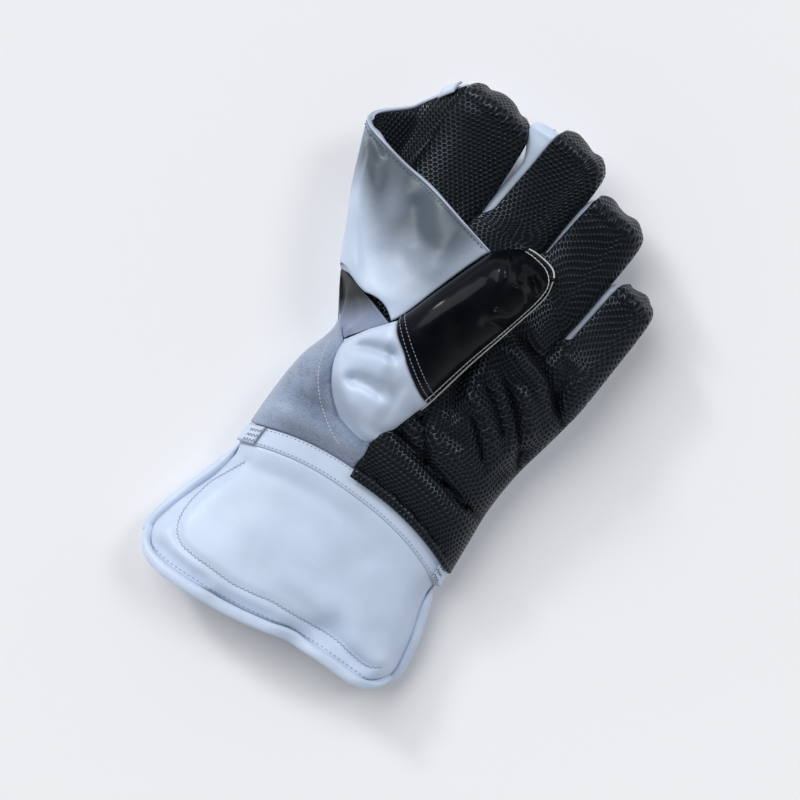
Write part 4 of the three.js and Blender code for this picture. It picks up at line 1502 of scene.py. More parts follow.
@dataclass(frozen=True)
class Suede:
    """Grey-blue suede with a speckled nap, and speckled painted light along its lit side and over its roll."""

    name: str = "suede"
    light: Colour = (0.165, 0.22, 0.33)
    dark: Colour = (0.048, 0.07, 0.115)
    # the colour of the painted light
    pale: Colour = (0.33, 0.41, 0.57)

    def material(self) -> Material:
        """The finish as nodes.

        Returns:
            The material.
        """
        g = Graph(self.name)
        nap = g.noise(1100, 5, 0.75)
        brushed = g.noise(110, 4, 0.6, 0.5)
        speck = g.math("MULTIPLY_ADD", brushed, 0.25, g.math("MULTIPLY", nap, 0.75))
        # Painted light: the colour turns speckled pale by the painted light that each piece keeps.
        rubbed = g.attribute("rubbed")
        share = g.math("MULTIPLY", rubbed, g.math("MULTIPLY_ADD", speck, 3.6, -0.9, clamp=True))
        colour = g.mix(share, g.ramp(speck, ((0.36, self.dark), (0.58, self.light))), self.pale)
        normal = g.bump(nap, 0.45, 0.9, g.bump(brushed, 0.5, 0.6))
        return g.shade(
            Base_Color=colour, Roughness=0.95, Normal=normal, Sheen_Weight=0.5, Sheen_Roughness=0.6
        )


@dataclass(frozen=True)
class Thread:
    """Sewing thread."""

    name: str
    colour: Colour

    def material(self) -> Material:
        """The finish as nodes.

        Returns:
            The material.
        """
        g = Graph(self.name)
        twist = g.noise(1800, 2)
        colour = g.ramp(twist, ((0.35, tuple(0.7 * c for c in self.colour)), (0.65, self.colour)))
        return g.shade(Base_Color=colour, Roughness=0.75, Normal=g.bump(twist, 0.1), Sheen_Weight=0.2)


@dataclass(frozen=True)
class Gusset:
    """The gusset's leather: near-black towards the picture's top, under the web's edge, and white towards the
    thumb's base.
    """

    name: str = "gusset_leather"
    dark: Colour = (0.008, 0.009, 0.013)
    middle: Colour = (0.10, 0.115, 0.15)
    light: Colour = (0.25, 0.30, 0.43)

    def material(self) -> Material:
        """The finish as nodes.

        Returns:
            The material.
        """
        g = Graph(self.name)
        paint = g.attribute("paint")
        mixed = g.math("MULTIPLY_ADD", g.math("SUBTRACT", g.noise(70, 3), 0.5), 0.25, paint)
        colour = g.ramp(mixed, ((0.3, self.dark), (0.55, self.middle), (0.9, self.light)))
        return g.shade(Base_Color=colour, Roughness=0.55, Normal=g.bump(g.noise(220, 5, 0.6, 0.5), 0.4, 0.8))


@dataclass(frozen=True)
class FloorPaper:
    """Pale seamless paper."""

    name: str = "floor_paper"
    colour: Colour = (0.885, 0.89, 0.91)

    def material(self) -> Material:
        """The finish as nodes.

        Returns:
            The material.
        """
        g = Graph(self.name)
        tint = g.ramp(g.noise(3, 2), ((0.2, tuple(0.99 * c for c in self.colour)), (0.8, self.colour)))
        return g.shade(Base_Color=tint, Roughness=0.9, Normal=g.bump(g.noise(400, 3), 0.02, 0.3))


@dataclass
class Finishes:
    """Every finish of the glove, made once."""

    white: Material = field(default_factory=WhiteLeather().material)
    cuff: Material = field(
        default_factory=WhiteLeather("cuff_leather", roughness=0.38, wrinkle=0.12).material
    )
    rubber: Material = field(default_factory=DimpledRubber().material)
    patent: Material = field(default_factory=PatentLeather().material)
    suede: Material = field(default_factory=Suede().material)
    gusset: Material = field(default_factory=Gusset().material)
    dark_thread: Material = field(default_factory=Thread("dark_thread", (0.08, 0.09, 0.12)).material)
    grey_thread: Material = field(default_factory=Thread("grey_thread", (0.27, 0.31, 0.40)).material)
    pale_thread: Material = field(default_factory=Thread("pale_thread", (0.70, 0.70, 0.72)).material)


# Sub-assemblies


def declared(piece: Piece, slot: str, *nodes: str, fill: float = 0.5) -> Piece:
    """Hides the solids that a piece stands for and logs how many faces it has.

    Args:
        piece: The piece.
        slot: Not used.
        nodes: The solids it stands for.
        fill: Not used.

    Returns:
        The piece.
    """
    if nodes:
        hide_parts(*nodes)
    LOG.info("%s: %d faces", piece.name, len(piece.data.polygons))
    return piece


def painted(piece: Piece, label: str, shade: Form) -> Piece:
    """Gives a piece a painted shade by X and Y, which its finish reads by that label.

    Args:
        piece: The piece.
        label: The shade's name.
        shade: Gives the shade, from X and Y.

    Returns:
        The piece.
    """
    x, y, _ = (np.array([v.co for v in piece.data.vertices]) / METRE).T
    keep(piece.data, label, np.clip(shade(x, y), 0, 1))
    return piece


def laid(piece: Piece, patch: Patch, slot: str, held: str, rests_on: Sequence[str], *nodes: str) -> Piece:
    """Hides the solids that a thin sheet stands for and logs the flat size that its patch unrolls to.

    Args:
        piece: The sheet.
        patch: The surface that it was made over.
        slot: Not used.
        held: Not used.
        rests_on: Not used.
        nodes: The solids it stands for.

    Returns:
        The piece.
    """
    area = float(np.linalg.norm(patch.facing(), axis=1).sum()) / 2 * METRE**2
    width = float(np.ptp(patch.flat[:, 0])) * METRE
    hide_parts(*nodes)
    LOG.info("%s: flat %.0f x %.0f mm", piece.name, width / METRE, area / width / METRE)
    return piece


@dataclass
class Palm:
    """The palm: one dimpled facing over the palm and the fingers, and the suede panel at the wrist."""

    hand: HandForm
    thumb: ThumbForm
    finishes: Finishes
    rubber: float = 3.0
    suede: float = 2.0
    hole_scale: float = 1 - 6 / 36
    side_corner: float = 0.86
    suede_corner: float = 0.55
    web_side: float = -0.5
    outer_hem: float = -0.25
    inner_hem: float = -0.4
    hem_lift: float = 2.2
    crease_share: float = 0.3
    knuckle_reach: float = 7.0
    bead: float = 1.5
    bead_in: float = 0.2
    bead_up: float = 2.6
    stitched: tuple[float, float] = (0.08, 0.62)
    stitch_ring: float = 1.17
    flat_steps: int = 160
    rows: int = 84
    side_columns: int = 46
    thumb_side_columns: int = 22
    hem_columns: int = 24
    suede_columns: int = 160
    finger_rows: int = 64
    finger_columns: int = 34
    # Painted light on the suede, over its roll beside the band and along a second, fainter line.
    rubbed_folds: tuple[Fold, ...] = (
        Fold((-46, -50), (14, -38), 4.5, 0.75, 2.0),
        Fold((-26, -22), (4, -34), 2.5, 0.4, -4.0),
    )

    def hole_place(self, side: int, t: Array) -> Pair:
        """Places on the hand round the hole that the thumb opens off.

        Args:
            side: 1 for the hole's wrist side and -1 for its finger side.
            t: From -1 at the web to 1.

        Returns:
            The places around and along the hand.
        """
        t = np.asarray(t, float)
        around = (t + 1) / 2 if side > 0 else (3 - t) / 2
        points = lerp(self.thumb.root, self.thumb(around, np.zeros_like(t)), self.hole_scale)
        share, along = self.hand.shares(points[..., 0], points[..., 1])
        return around_of(share), along

    def between(self, inner: Pair, outer: Pair) -> Place:
        """Places between two lines of places on the hand, which have as many columns as each other.

        Args:
            inner: The first line.
            outer: The last line.

        Returns:
            The place at a column and a share of the way out.
        """

        def place(u: Array, v: Array) -> Pair:
            """The place at a column and a share of the way out."""
            i = u.astype(int)
            return lerp(inner[0][i], outer[0][i], v), lerp(inner[1][i], outer[1][i], v)

        return place

    def legs(self, *legs: tuple[int, Sequence[float], Sequence[float]]) -> Pair:
        """Runs of places, each a count of columns, a start and an end; the last place is left off."""
        parts = [[lerp(a[k], b[k], np.arange(n) / n) for n, a, b in legs] for k in (0, 1)]
        return np.concatenate(parts[0]), np.concatenate(parts[1])

    def flat_places(self, points: Array) -> Array:
        """The flat place of points of the palm: lengths across and along the hand from its middle.

        Args:
            points: The points.

        Returns:
            One row for each point, in millimetres.
        """
        n = self.flat_steps
        steps = np.linspace(0, 1, n + 1)
        flat = Patch.over(self.hand.hand, steps, steps).flat.reshape(n + 1, n + 1, 2)
        share, along = self.hand.shares(points[:, 0], points[:, 1])
        u, v = around_of(share) * n, along * n
        i, j = np.clip(u.astype(int), 0, n - 1), np.clip(v.astype(int), 0, n - 1)
        s, t = (u - i)[:, None], (v - j)[:, None]
        low = lerp(flat[j, i], flat[j, i + 1], s)
        places = lerp(low, lerp(flat[j + 1, i], flat[j + 1, i + 1], s), t)
        hem = self.hand.wrist_line(share) + self.hand.band / 2
        places[:, 1] += np.minimum(points[:, 1] - hem, 0)
        return places

    def facing_patch(self) -> Patch:
        """The whole facing: the palm round the thumb's root, and a strip up each finger.

        Returns:
            The patch.
        """
        hand, n = self.hand, self.finger_columns
        order = range(len(FINGERS) - 1, -1, -1)
        turns = np.linspace(1, 0, n + 1)
        knuckles = []
        for i in order:
            x = hand.finger(i, turns, np.zeros(n + 1))[:, 0]
            x[0], x[-1] = hand.crotches[i + 1, 0], hand.crotches[i, 0]
            knuckles.append(around_of((x - hand.left) / hand.width)[:-1])
        middle = np.concatenate(knuckles)
        up_side = self.legs((self.side_columns, (1, self.outer_hem), (1, 1)))
        down_side = self.legs((self.thumb_side_columns, (0, 1), (0, self.side_corner)))
        outer = (
            np.concatenate([up_side[0], middle, down_side[0], [0.0]]),
            np.concatenate([up_side[1], np.ones(len(middle)), down_side[1], [self.side_corner]]),
        )
        count, start = len(outer[0]), self.hem_columns
        across, along = (float(place) for place in self.hole_place(1, np.array(1.0)))
        up_hem = self.legs((start, (across, self.inner_hem), (across, along)))
        hole = self.hole_place(-1, lerp(1.0, self.web_side, np.linspace(0, 1, count - start)))
        inner = (np.concatenate([up_hem[0], hole[0]]), np.concatenate([up_hem[1], hole[1]]))
        rows = np.concatenate([[0, 0.012], np.linspace(0.03, 0.975, self.rows - 4), [0.99, 1.0]])
        place = self.between(inner, outer)

        def lapped(around: Array, along: Array) -> Array:
            """The hand's surface, raised where the hem laps over the wrist band.

            Args:
                around: The place around it.
                along: The place along it.

            Returns:
                The points.
            """
            points = hand.hand(around, along)
            points[..., 2] += self.hem_lift * smoothstep(-along, -0.06, 0.05)
            inside = self.crease_share * smoothstep(np.minimum(around, 1 - around), 0.02, 0.12)
            points[..., 2] -= inside * pressed_down(hand.crease_folds, points[..., 0], points[..., 1])
            return points

        palm = Patch.over(lapped, np.arange(count), rows, place)
        palm.flat = self.flat_places(palm.points)
        whole, first = palm, (len(rows) - 1) * count + self.side_columns
        for i in order:
            finger = self.finger_patch(i)
            finger.flat = finger.flat * (-1, 1) + palm.flat[first + n // 2]
            whole = whole.joined(finger, np.stack([first + np.arange(n + 1), np.arange(n + 1)], -1))
            first += n
        share, along = hand.shares(whole.points[:, 0], whole.points[:, 1])
        off = whole.points[:, 1] - hand.knuckle_line(share)
        near = np.exp(-((off / self.knuckle_reach) ** 2)) * (np.abs(along - 1) < 0.2)
        near[np.unique(whole.border())] = 0
        return whole.relaxed(0.5 * near, 8)

    def finger_patch(self, index: int) -> Patch:
        """The facing of one finger, which leaves a strip of the back showing along its thumb side.

        Args:
            index: The finger's number.

        Returns:
            The patch.
        """
        finger = FINGERS[index]

        def place(u: Array, v: Array) -> Pair:
            """The form's parameters, from the little finger's side to the thumb's."""
            return lerp(1, seam_around(finger, v), u), v

        columns, rows = np.linspace(0, 1, self.finger_columns + 1), crowded(spread(self.finger_rows))
        return Patch.over(partial(self.hand.crinkled, index), columns, rows, place)

    def rubbed(self, x: Array, y: Array) -> Array:
        """How much painted light the suede gets at those places: along its lit side and over its roll."""
        share, _ = self.hand.shares(x, y)
        return 0.6 * (1 - smoothstep(share, 0.02, 0.16)) + pressed_down(self.rubbed_folds, x, y)

    def build(self) -> list[Piece]:
        """Builds the facing, the suede panel, its stitches and the bead up its side.

        Returns:
            The pieces.
        """
        f, n = self.finishes, self.suede_columns
        facing = shell("dimpled_facing", self.facing_patch(), Cut(self.rubber, 0, 0.3, 2.0), f.rubber)
        nodes = ["palm_facing", *[f"{finger.name}_facing" for finger in FINGERS]]
        declared(facing, "dimpled_rubber", *nodes, fill=0.3)
        right = float(self.hole_place(1, np.array(1.0))[0])
        inner = self.hole_place(1, np.linspace(-1, 1, n + 1))
        outer = self.legs((n // 2, (0, self.suede_corner), (0, 0)), (n // 2, (0, 0), (right, 0)))
        outer = (np.append(outer[0], right), np.append(outer[1], 0.0))
        patch = Patch.over(self.hand.hand, np.arange(n + 1), spread(40, 0.04), self.between(inner, outer))
        panel = shell("suede_panel", patch, Cut(self.suede, 0, 0.4, 2.0), f.suede)
        laid(panel, patch, "suede", "stretched", ["hand_back"], "wrist_panel")
        # Paints light onto the suede along its lit side and over its roll.
        painted(panel, "rubbed", self.rubbed)
        around = np.linspace(*self.stitched, 240)
        ring = lerp(self.thumb.root, self.thumb(around, np.zeros_like(around)), self.stitch_ring)
        seam = Seam(2.0, 1.4, 0.24).sew("suede_stitches", [Surface(panel).drop(ring)], f.pale_thread)
        return [facing, panel, seam, self.side_bead()]

    def side_bead(self) -> Piece:
        """The suede bead up the panel's free side.

        Returns:
            The piece.
        """
        line = self.hand.hand(np.zeros(90), np.linspace(0.01, self.suede_corner - 0.02, 90))
        line[:, 0] -= self.bead_in
        line[:, 2] += self.bead_up
        # The bead gets painted light at half strength.
        return rolled("suede_side_bead", line, self.bead, self.finishes.suede, 10, slot="suede", rubbed=0.5)


def seam_around(finger: Finger, along: Array) -> Array:
    """Where a finger's facing stops on its thumb side, to leave a strip of white leather showing.

    Args:
        finger: The finger.
        along: The places along it.

    Returns:
        The places around it.
    """
    root = finger.white * smoothstep(along, 0, 0.16)
    tip = (finger.white_tip - finger.white) * smoothstep(along, 0.72, 0.98)
    share = np.clip(1 - 2 * (root + tip) / finger.width, 0, 1)
    return 0.5 - np.arcsin(share ** (HandForm.top_fullness / 2)) / math.pi


@dataclass
class Back:
    """The white padded back of the hand and of each finger, and the leather that turns up between them."""

    hand: HandForm
    finishes: Finishes
    leather: float = 2.6
    shadow: float = 0.6

    def build(self) -> list[Piece]:
        """Builds the back of the hand and the backs of the fingers.

        Returns:
            The pieces.
        """
        along = np.concatenate([np.linspace(-1, 0, 14)[:-1], spread(110, 0.01)])
        patch = Patch.over(self.hand.hand, spread(120, 0.012, 1, 2), along)
        back = shell("back_of_hand", patch, Cut(self.leather, 0, 0.5, 3.0), self.finishes.white)
        declared(back, "white_leather", "hand_back")
        return [back, *[self.finger(i) for i in range(len(FINGERS))]]

    def finger(self, index: int) -> Piece:
        """The back of one finger.

        Args:
            index: The finger's number.

        Returns:
            The piece.
        """
        finger = FINGERS[index]

        def place(u: Array, v: Array) -> Pair:
            """The form's parameters, from the little finger's side under the finger to the thumb's."""
            return lerp(1, 2 + seam_around(finger, v), u), v

        def shade(_: Array, y: Array) -> Array:
            """The painted shade on the leather between the fingers, which fades towards the tip."""
            share = (y - self.hand.crotches[index, 1]) / finger.length
            return self.shadow * (1 - smoothstep(share, 0.4, 1.0))

        form = partial(self.hand.crinkled, index)
        patch = Patch.over(form, spread(60, 0.02), crowded(spread(56, 0.01)), place)
        cut = Cut(self.leather, 0, 0.3, 2.0)
        made = shell(f"{finger.name}_back_leather", patch, cut, self.finishes.white)
        # Paints shade into the finger's back near its root, between the fingers.
        painted(made, "hollow", shade)
        return declared(made, "white_leather", f"{finger.name}_back")


@dataclass
class Thumb:
    """The thumb: a white base, a glossy cap with its sewn edges, and a facing towards the palm."""

    form: ThumbForm
    finishes: Finishes
    leather: float = 2.4
    rubber: float = 3.0
    clear: float = 0.1
    root_bead: float = 1.2
    root_lift: float = 0.4
    piping: float = 0.42
    inner_line: float = 0.2
    # Painted shade in the base's dents and along its lower edge.
    greys: tuple[Fold, ...] = (
        Fold((-28, 1), (-8, 12), 4.0, 0.24, 1.5),
        Fold((-20, -9), (4, -3), 4.0, 0.26, 2.0),
        Fold((-26, -16), (2, -26), 4.0, 0.34, -3.0),
    )

    def shaded(self, x: Array, y: Array) -> Array:
        """How much painted shade the base gets in its dents and along its lower edge."""
        return pressed_down(self.greys, x, y)

    def on_palm(self, x: Array, y: Array) -> Array:
        """The height that the thumb stays above."""
        return self.form.hand.palm_z(x, y) + self.clear

    def build(self) -> list[Piece]:
        """Builds the base, the cap, the facing and the sewn lines.

        Returns:
            The pieces.
        """
        form, f, around = self.form, self.finishes, spread(96, 0.015)
        base_patch = Patch.over(form, around, spread(44, 0.02, 0, form.cap_start))
        cap_patch = Patch.over(form, around, spread(90, 0.012, form.cap_start, 1))
        front_patch = Patch.over(form, spread(96, 0.015, 1, 2), spread(100, 0.01))
        cut = Cut(self.leather, 0, 0.5, 2.5)
        base = shell("thumb_base_leather", base_patch, cut, f.white, self.on_palm)
        # Paints shade into the base's dents and along its lower edge.
        painted(base, "hollow", self.shaded)
        declared(base, "white_leather", "thumb_base")
        cap = shell("thumb_cap_leather", cap_patch, cut, f.patent, self.on_palm)
        declared(cap, "patent_leather", "thumb_cap")
        front = shell("thumb_palm_facing", front_patch, Cut(self.rubber), f.rubber, self.on_palm)
        declared(front, "dimpled_rubber", "thumb_facing")
        return [base, cap, front, *self.sewing()]

    def line(self, around: Sequence[float], along: Sequence[float], count: int = 200) -> Pair:
        """A line on the thumb and the directions out of it, through the places given.

        Args:
            around: The places around it.
            along: The places along it.
            count: How many points the line has.

        Returns:
            The points and the directions.
        """
        places = smooth_line(list(zip(around, along)), count)
        a, b = places[:, 0], np.clip(places[:, 1], 0, 1)
        points = self.form(a, b)
        side = self.form(a + 0.01, b) - self.form(a - 0.01, b)
        run = self.form(a, np.minimum(b + 0.01, 1)) - self.form(a, np.maximum(b - 0.01, 0))
        return points, unit(np.cross(side, run))

    def sewing(self) -> list[Piece]:
        """The double row above the base, the row inside the seam and the piping along it.

        Returns:
            The pieces.
        """
        start, f = self.form.cap_start, self.finishes
        rows = [self.line((0.04, 0.5, 0.96), (start + gap,) * 3) for gap in (0.018, 0.04)]
        double = Seam(2.0, 1.4, 0.22).sew("cap_double_stitches", rows, f.grey_thread)
        inner = self.line(
            (0.89, 0.88, 0.85, 0.8, 0.66, 0.45, 0.3),
            (start, 0.5, 0.8, 0.91, 0.955, 0.965, 0.965),
        )
        edge = self.line(
            (0.99, 0.99, 0.99, 0.97, 0.8, 0.5, 0.25),
            (start - 0.08, 0.5, 0.84, 0.96, 0.992, 0.997, 0.997),
        )
        ring, out = self.line((0.02, 0.5, 0.98), (0.012, 0.012, 0.012))
        ring = ring + out * self.root_lift
        bead = rolled(
            "thumb_base_rolled_edge", ring, self.root_bead, f.white, 10, 0.8, out, edge=FAR_FROM_EDGE
        )
        piping = rolled("thumb_seam_piping", edge[0], self.piping, f.pale_thread, up=edge[1])
        line = rolled("thumb_seam_line", inner[0], self.inner_line, f.pale_thread, up=inner[1])
        stitches = Seam(2.2, 1.5, 0.26).sew("thumb_seam_stitches", [inner], f.pale_thread)
        return [double, bead, piping, line, stitches]


@dataclass
class Web:
    """The web between the thumb and the index finger, with its lining, bound edge, tab and gusset."""

    form: WebForm
    finishes: Finishes
    leather: float = 1.6
    rubber: float = 1.8
    binding: float = 2.2
    gap: float = 0.3
    step: float = 0.4
    tab: float = 1.5
    gusset_leather: float = 1.6
    gusset_sink: float = 0.4
    sag: float = 6.0
    ripple: float = 0.4
    lean: float = 1.5
    pleat: float = 1.6
    white_span: tuple[float, float] = (-54, -26)

    def build(self) -> list[Piece]:
        """Builds the web's layers, its binding and tab, and the gusset under it.

        Returns:
            The pieces.
        """
        f, form = self.finishes, self.form
        edge = 1 - self.binding / form.length

        def folded(u: Array, v: Array) -> Pair:
            """The form's parameters, short of the hand near the crotch and bowed up along the lower edge."""
            bow = 0.05 * np.sin(2 * math.pi * np.clip(u / 0.6, 0, 1)) * (1 - v / edge) ** 2
            return u * lerp(0.8, 1, np.minimum(2 * v / edge, 1)), v + bow

        across = spread(150, 0.008)
        outer = Patch.over(form, across, spread(80, 0.02, 0, edge), folded, flip=True)
        bound = Patch.over(form, across, spread(6, 0.2, edge - 0.004, 1), flip=True)
        inside = Patch.over(form, across, spread(80, 0.02, 0.05, edge), folded, flip=True)
        corner = Patch.over(form, spread(14, 0.1, 0.89, 0.97), spread(14, 0.1, 0.92, 1.0), flip=True)
        whole = self.leather + self.gap + self.rubber
        leather = shell("web_leather", outer, Cut(self.leather, 0, 0.3, 2.0), f.white)
        # Paints shade into the web's leather over its upper part and in its folds.
        painted(leather, "hollow", partial(pressed_down, form.greys))
        laid(leather, outer, "white_leather", "folded", ["thumb_cap"], "web_outer")
        lining = shell("web_rubber_lining", inside, Cut(self.rubber, -self.leather - self.gap), f.rubber)
        laid(lining, inside, "dimpled_rubber", "folded", ["web_outer"], "web_lining")
        binding = shell("web_edge_binding", bound, Cut(whole + 2 * self.step, self.step), f.white)
        declared(binding, "white_leather", "web_binding")
        tab = shell("web_corner_tab", corner, Cut(self.tab, -whole - self.step - self.gap), f.white)
        declared(tab, "white_leather", "web_tab")
        row = self.edge_line(edge - 0.03)
        stitches = Seam(2.4, 1.5, 0.24).sew("web_edge_stitches", [row], f.dark_thread)
        return [leather, lining, binding, tab, stitches, self.gusset()]

    def edge_line(self, along: float) -> Pair:
        """A line right across the web beside its free edge.

        Args:
            along: Where it lies along the web.

        Returns:
            The points and the directions out of the web.
        """
        form, u = self.form, np.linspace(0.02, 0.98, 260)
        v = np.full_like(u, along)
        out = unit(np.cross(form(u, v + 0.01) - form(u, v - 0.01), form(u + 0.002, v) - form(u - 0.002, v)))
        return form(u, v), out * np.sign(out[:40, 2].mean())

    def gusset(self) -> Piece:
        """The gusset in the crotch, from the web's lower edge to the hand.

        Returns:
            The piece.
        """
        form, hand = self.form, self.form.hand
        palm = Palm(hand, form.thumb, self.finishes)
        left = [float(place) for place in palm.hole_place(1, np.array(-1.0))]

        def surface(u: Array, v: Array) -> Array:
            """The sagging sheet between the web's edge and the hand.

            Args:
                u: From 0 at the thumb to 1 at the hand's thumb side.
                v: From 0 at the hand to 1 at the web.

            Returns:
                The points.
            """
            zero, up = np.zeros_like(u), v[..., None]
            low = hand.hand(lerp(left[0], 0, u), lerp(left[1], form.on_hand[0] - 0.1, u))
            corner = hand.hand(np.full_like(u, left[0]), np.full_like(u, left[1]))
            side = form.thumb(zero, form.on_thumb[0] * v) - lerp(corner, form(zero, zero), up)
            points = lerp(low, form(u, zero), up) + side * (1 - u)[..., None]
            sag = np.sin(math.pi * np.clip(u, 0, 1)) * np.sin(math.pi * np.clip(v, 0, 1))
            points[..., 2] -= sag * (self.sag + self.ripple * np.cos(u * 21 + v))
            points[..., 0] += sag * (self.lean + self.pleat * np.cos(u * 24 + 1.5 * v))
            return points

        def paint(x: Array, y: Array) -> Array:
            """How white the leather is, towards the picture's lower edge."""
            return smoothstep(-PICTURE_UP[0] * x - PICTURE_UP[1] * y, *self.white_span)

        patch = Patch.over(surface, spread(60, 0.03, -0.03, 0.97), spread(40, 0.04, -0.03, 0.93), flip=True)
        cut = Cut(self.gusset_leather, -self.gusset_sink)
        made = shell("crotch_gusset_leather", patch, cut, self.finishes.gusset, lambda x, y: np.zeros_like(x))
        # Makes the gusset near-black towards the picture's top and white towards its lower edge.
        painted(made, "paint", paint)
        return declared(made, "white_leather", "crotch_gusset")


@dataclass
class Cuff:
    """The cuff with its rolled rim, the wrist band with its tabs, and their stitched lines."""

    hand: HandForm
    finishes: Finishes
    pad: float = 4.0
    rim_width: float = 5.0
    rim_step: float = 0.8
    band_step: float = 0.8
    tab: float = 1.5
    lap: float = 2.2
    edge_groove: tuple[float, float] = (2.4, 7.0)
    zigzag_groove: tuple[float, float] = (1.1, 2.6)
    bead: float = 2.9
    bead_in: float = 0.8
    bead_up: float = 1.0
    rim_spare: float = 0.6
    rim_roundness: float = 0.75
    zigzag: tuple[tuple[float, float], ...] = (
        (-33, -78), (-36, -86), (-40, -97), (-41, -104), (-41.5, -112), (-40, -121),
        (-36, -127), (-29, -130), (-11, -129), (1, -128), (13, -125), (23, -122),
        (37, -120), (50, -118), (60, -117), (70, -117.5), (80, -117), (86, -113),
    )

    def build(self) -> list[Piece]:
        """Builds the cuff, the band and every sewn line on them.

        Returns:
            The pieces.
        """
        f, cuff = self.finishes, self.hand.cuff
        edge = 1 - self.rim_width / self.hand.cuff_length
        cut = Cut(self.pad, 0, 0.3, 2.0)
        start = -self.lap / self.hand.cuff_length
        front = Patch.over(cuff, spread(150, 0.012), spread(84, 0.03, start, edge), flip=True)
        back = Patch.over(cuff, spread(120, 0.015, 1, 2), spread(60, 0.03, start, edge), flip=True)
        side = np.linspace(0.1, edge, 80)
        mouth = cuff(np.linspace(0, 1, 240), np.full(240, edge))
        sides = [cuff(np.full(80, around), side) for around in (0.0, 1.0)]
        front = front.grooved(np.concatenate([sides[0], mouth, sides[1]]), *self.edge_groove)
        front = front.grooved(smooth_line(self.zigzag, 300), *self.zigzag_groove)
        pieces = [
            declared(shell("cuff_front_leather", front, cut, f.cuff), "white_leather", "cuff_front"),
            declared(shell("cuff_back_leather", back, cut, f.cuff), "white_leather", "cuff_back"),
            self.rim(edge),
            self.side_bead("cuff_thumb_side_bead", 0.0),
            self.side_bead("cuff_little_side_bead", 1.0),
        ]
        surface = Surface(pieces[0])
        zigzag = surface.drop(smooth_line(self.zigzag, 400))
        stitch = Seam(1.15, 1.15, 0.2, Stitch.ZIGZAG, 1.3)
        pieces.append(stitch.sew("cuff_zigzag_stitches", [zigzag], f.grey_thread))
        t = np.linspace(0.03, 0.97, 500)
        row = surface.drop(cuff(t, np.full_like(t, edge - 0.02)))
        pieces.append(Seam(2.6, 1.7, 0.2).sew("cuff_rim_stitches", [row], f.grey_thread))
        return pieces + self.band()

    def side_bead(self, name: str, around: float) -> Piece:
        """The padded bead up one side of the cuff.

        Args:
            name: The piece's name.
            around: 0 for the thumb's side and 1 for the little finger's.

        Returns:
            The piece.
        """
        along = np.linspace(0.005, 0.985, 90)
        points = self.hand.cuff(np.full(90, around), along)
        points[:, 0] += self.bead_in if around < 0.5 else -self.bead_in
        points[:, 2] += self.bead_up
        radius = self.bead * lerp(0.25, 1, smoothstep(along, 0, 0.22))
        return rolled(name, points, radius, self.finishes.cuff, 16, 1.1, edge=FAR_FROM_EDGE)

    def rim(self, edge: float) -> Piece:
        """The rolled rim right round the mouth.

        Args:
            edge: Where the cuff stops and the rim starts.

        Returns:
            The piece.
        """
        n, sides = 360, 24
        around = np.arange(n) * 2 / n
        inner, outer = self.hand.cuff(around, np.full(n, edge)), self.hand.cuff(around, np.ones(n))
        out = unit(outer - inner)
        run = unit(np.roll(inner, -1, 0) - np.roll(inner, 1, 0))
        up = unit(np.cross(run, out))
        up *= np.sign((up * (inner - inner.mean(0))).sum(-1, keepdims=True))
        half_width, half_height = self.rim_width / 2 + self.rim_spare, (self.pad + self.rim_step) / 2
        middle = (inner + outer) / 2 + up * (self.rim_step - half_height)
        turn = np.arange(sides) * 2 * math.pi / sides
        c, s = np.cos(turn), np.sin(turn)
        wide = np.sign(c) * np.abs(c) ** self.rim_roundness * half_width
        high = np.sign(s) * np.abs(s) ** self.rim_roundness * half_height
        points = middle[:, None] + out[:, None] * wide[:, None] + up[:, None] * high[:, None]
        points[..., 2] = np.maximum(points[..., 2], LEAST_HEIGHT)
        j, i = np.meshgrid(np.arange(n), np.arange(sides), indexing="ij")
        row, next_row, beside = j * sides, (j + 1) % n * sides, (i + 1) % sides
        faces = np.stack([row + i, row + beside, next_row + beside, next_row + i], -1).reshape(-1, 4)
        edge_far = np.full(n * sides, FAR_FROM_EDGE)
        points = points.reshape(-1, 3)
        made = mesh_object("cuff_rolled_rim", points, faces, self.finishes.cuff, edge=edge_far)
        return declared(made, "white_leather", "cuff_rim")

    def band(self) -> list[Piece]:
        """The band over the wrist seam, its two rows of stitches and its tabs.

        Returns:
            The pieces.
        """
        f, hand = self.finishes, self.hand.hand
        patch = Patch.over(hand, spread(150, 0.01), spread(16, 0.12, -1, 0))
        band = shell("wrist_band_leather", patch, Cut(2.4, self.band_step, 0.3, 1.5), f.white)
        pieces = [declared(band, "white_leather", "wrist_band")]
        surface = Surface(band)
        t = np.linspace(0.03, 0.97, 400)
        rows = [surface.drop(hand(t, np.full_like(t, place))) for place in (-0.84, -0.16)]
        pieces.append(Seam(2.2, 1.4, 0.2).sew("band_stitches", rows, f.grey_thread))
        tack = Seam(0.9, 0.9, 0.16, Stitch.ZIGZAG, 1.8)
        for name, (low, high) in {"thumb": (0.03, 0.16), "little": (0.86, 0.97)}.items():
            tab = Patch.over(hand, spread(16, 0.1, low, high), spread(14, 0.1, -0.95, -0.05))
            cut = Cut(self.tab, self.band_step + 0.3 + self.tab)
            made = shell(f"{name}_side_tab", tab, cut, f.white)
            pieces.append(declared(made, "white_leather", f"band_tab_{name}"))
            t = np.linspace(low + 0.015, high - 0.015, 60)
            rows = [Surface(made).drop(hand(t, np.full_like(t, place))) for place in (-0.75, -0.5, -0.25)]
            rows = [row for row in rows if len(row[0]) > 4]
            if rows:
                pieces.append(tack.sew(f"{name}_tab_stitches", rows, f.dark_thread))
        return pieces


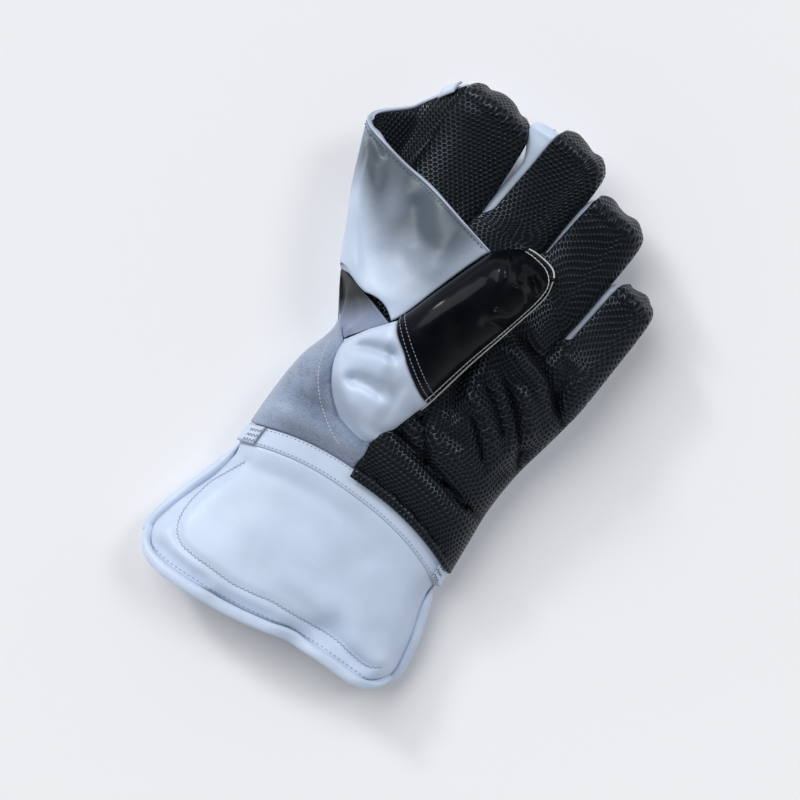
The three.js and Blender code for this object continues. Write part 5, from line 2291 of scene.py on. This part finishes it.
@dataclass(frozen=True)
class Lamp:
    """Light from one direction, as soft as a disc of `width` degrees makes it."""

    name: str
    away: tuple[float, float, float]
    width: float
    strength: float

    def hang(self) -> None:
        """Hangs the lamp in the scene."""
        light = bpy.data.lights.new(self.name, "SUN")
        light.angle, light.energy = math.radians(self.width), self.strength
        made = bpy.data.objects.new(self.name, light)
        made.rotation_euler = Vector(self.away).to_track_quat("Z", "Y").to_euler()
        bpy.context.scene.collection.objects.link(made)


@dataclass
class Studio:
    """A pale floor, soft light from the picture's upper left and a camera straight above, in metres."""

    height: float = 1.2
    centre: tuple[float, float] = (0.0067, -0.0041)
    lens: float = 105.0
    floor: float = 4.0
    sky_colour: Tint = (0.965, 0.98, 1.0, 1.0)
    sky_low: float = 0.1
    sky_high: float = 0.95
    horizon: float = 0.70
    zenith: float = 0.13
    lamps: tuple[Lamp, ...] = (
        Lamp("key", (-0.66, 0.2, 1.0), 44, 1.5),
        Lamp("back_light", (0.35, 0.75, 1.0), 20, 0.5),
        Lamp("window", (-1.0, 0.25, 0.6), 10, 0.85),
    )

    def build(self) -> None:
        """Builds the floor, the lights and the camera."""
        scene = bpy.context.scene
        mesh = bpy.data.meshes.new("floor")
        corners = [(x * self.floor, y * self.floor, 0) for x, y in ((-1, -1), (1, -1), (1, 1), (-1, 1))]
        mesh.from_pydata(corners, [], [(0, 1, 2, 3)])
        mesh.materials.append(FloorPaper().material())
        floor = bpy.data.objects.new("floor", mesh)
        scene.collection.objects.link(floor)
        self.sky()
        scene.view_settings.view_transform = "Standard"
        for lamp in self.lamps:
            lamp.hang()
        self.camera()

    def sky(self) -> None:
        """A soft surround, brighter near the horizon than overhead."""
        world = bpy.data.worlds.new("studio")
        world.use_nodes = True
        nodes, links = world.node_tree.nodes, world.node_tree.links
        place = nodes.new("ShaderNodeTexCoord")
        split = nodes.new("ShaderNodeSeparateXYZ")
        ramp = nodes.new("ShaderNodeMapRange")
        ends = (self.sky_low, self.sky_high, self.horizon, self.zenith)
        for label, value in zip(("From Min", "From Max", "To Min", "To Max"), ends):
            ramp.inputs[label].default_value = value
        background = nodes["Background"]
        background.inputs["Color"].default_value = self.sky_colour
        links.new(place.outputs["Generated"], split.inputs["Vector"])
        links.new(split.outputs["Z"], ramp.inputs["Value"])
        links.new(ramp.outputs["Result"], background.inputs["Strength"])
        bpy.context.scene.world = world

    def camera(self) -> None:
        """The camera, looking straight down."""
        data = bpy.data.cameras.new("camera")
        data.lens, data.sensor_width = self.lens, 36.0
        made = bpy.data.objects.new("camera", data)
        up = Vector((*PICTURE_UP, 0)).normalized()
        back = Vector((0, 0, 1))
        right = up.cross(back)
        turn = Matrix((right, up, back)).transposed().to_4x4()
        made.matrix_world = Matrix.Translation((*self.centre, self.height)) @ turn
        bpy.context.scene.collection.objects.link(made)
        bpy.context.scene.camera = made


def main() -> None:
    """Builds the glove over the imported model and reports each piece."""
    logging.basicConfig(level=logging.INFO, format="%(message)s")
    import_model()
    hand = HandForm()
    thumb = ThumbForm(hand)
    finishes = Finishes()
    pieces = Palm(hand, thumb, finishes).build()
    pieces += Back(hand, finishes).build()
    pieces += Thumb(thumb, finishes).build()
    pieces += Web(WebForm(hand, thumb), finishes).build()
    pieces += Cuff(hand, finishes).build()
    Studio().build()
    bpy.context.view_layer.update()
    for piece in pieces:
        LOG.info("built %s", piece.name)


if __name__ == "__main__":
    main()
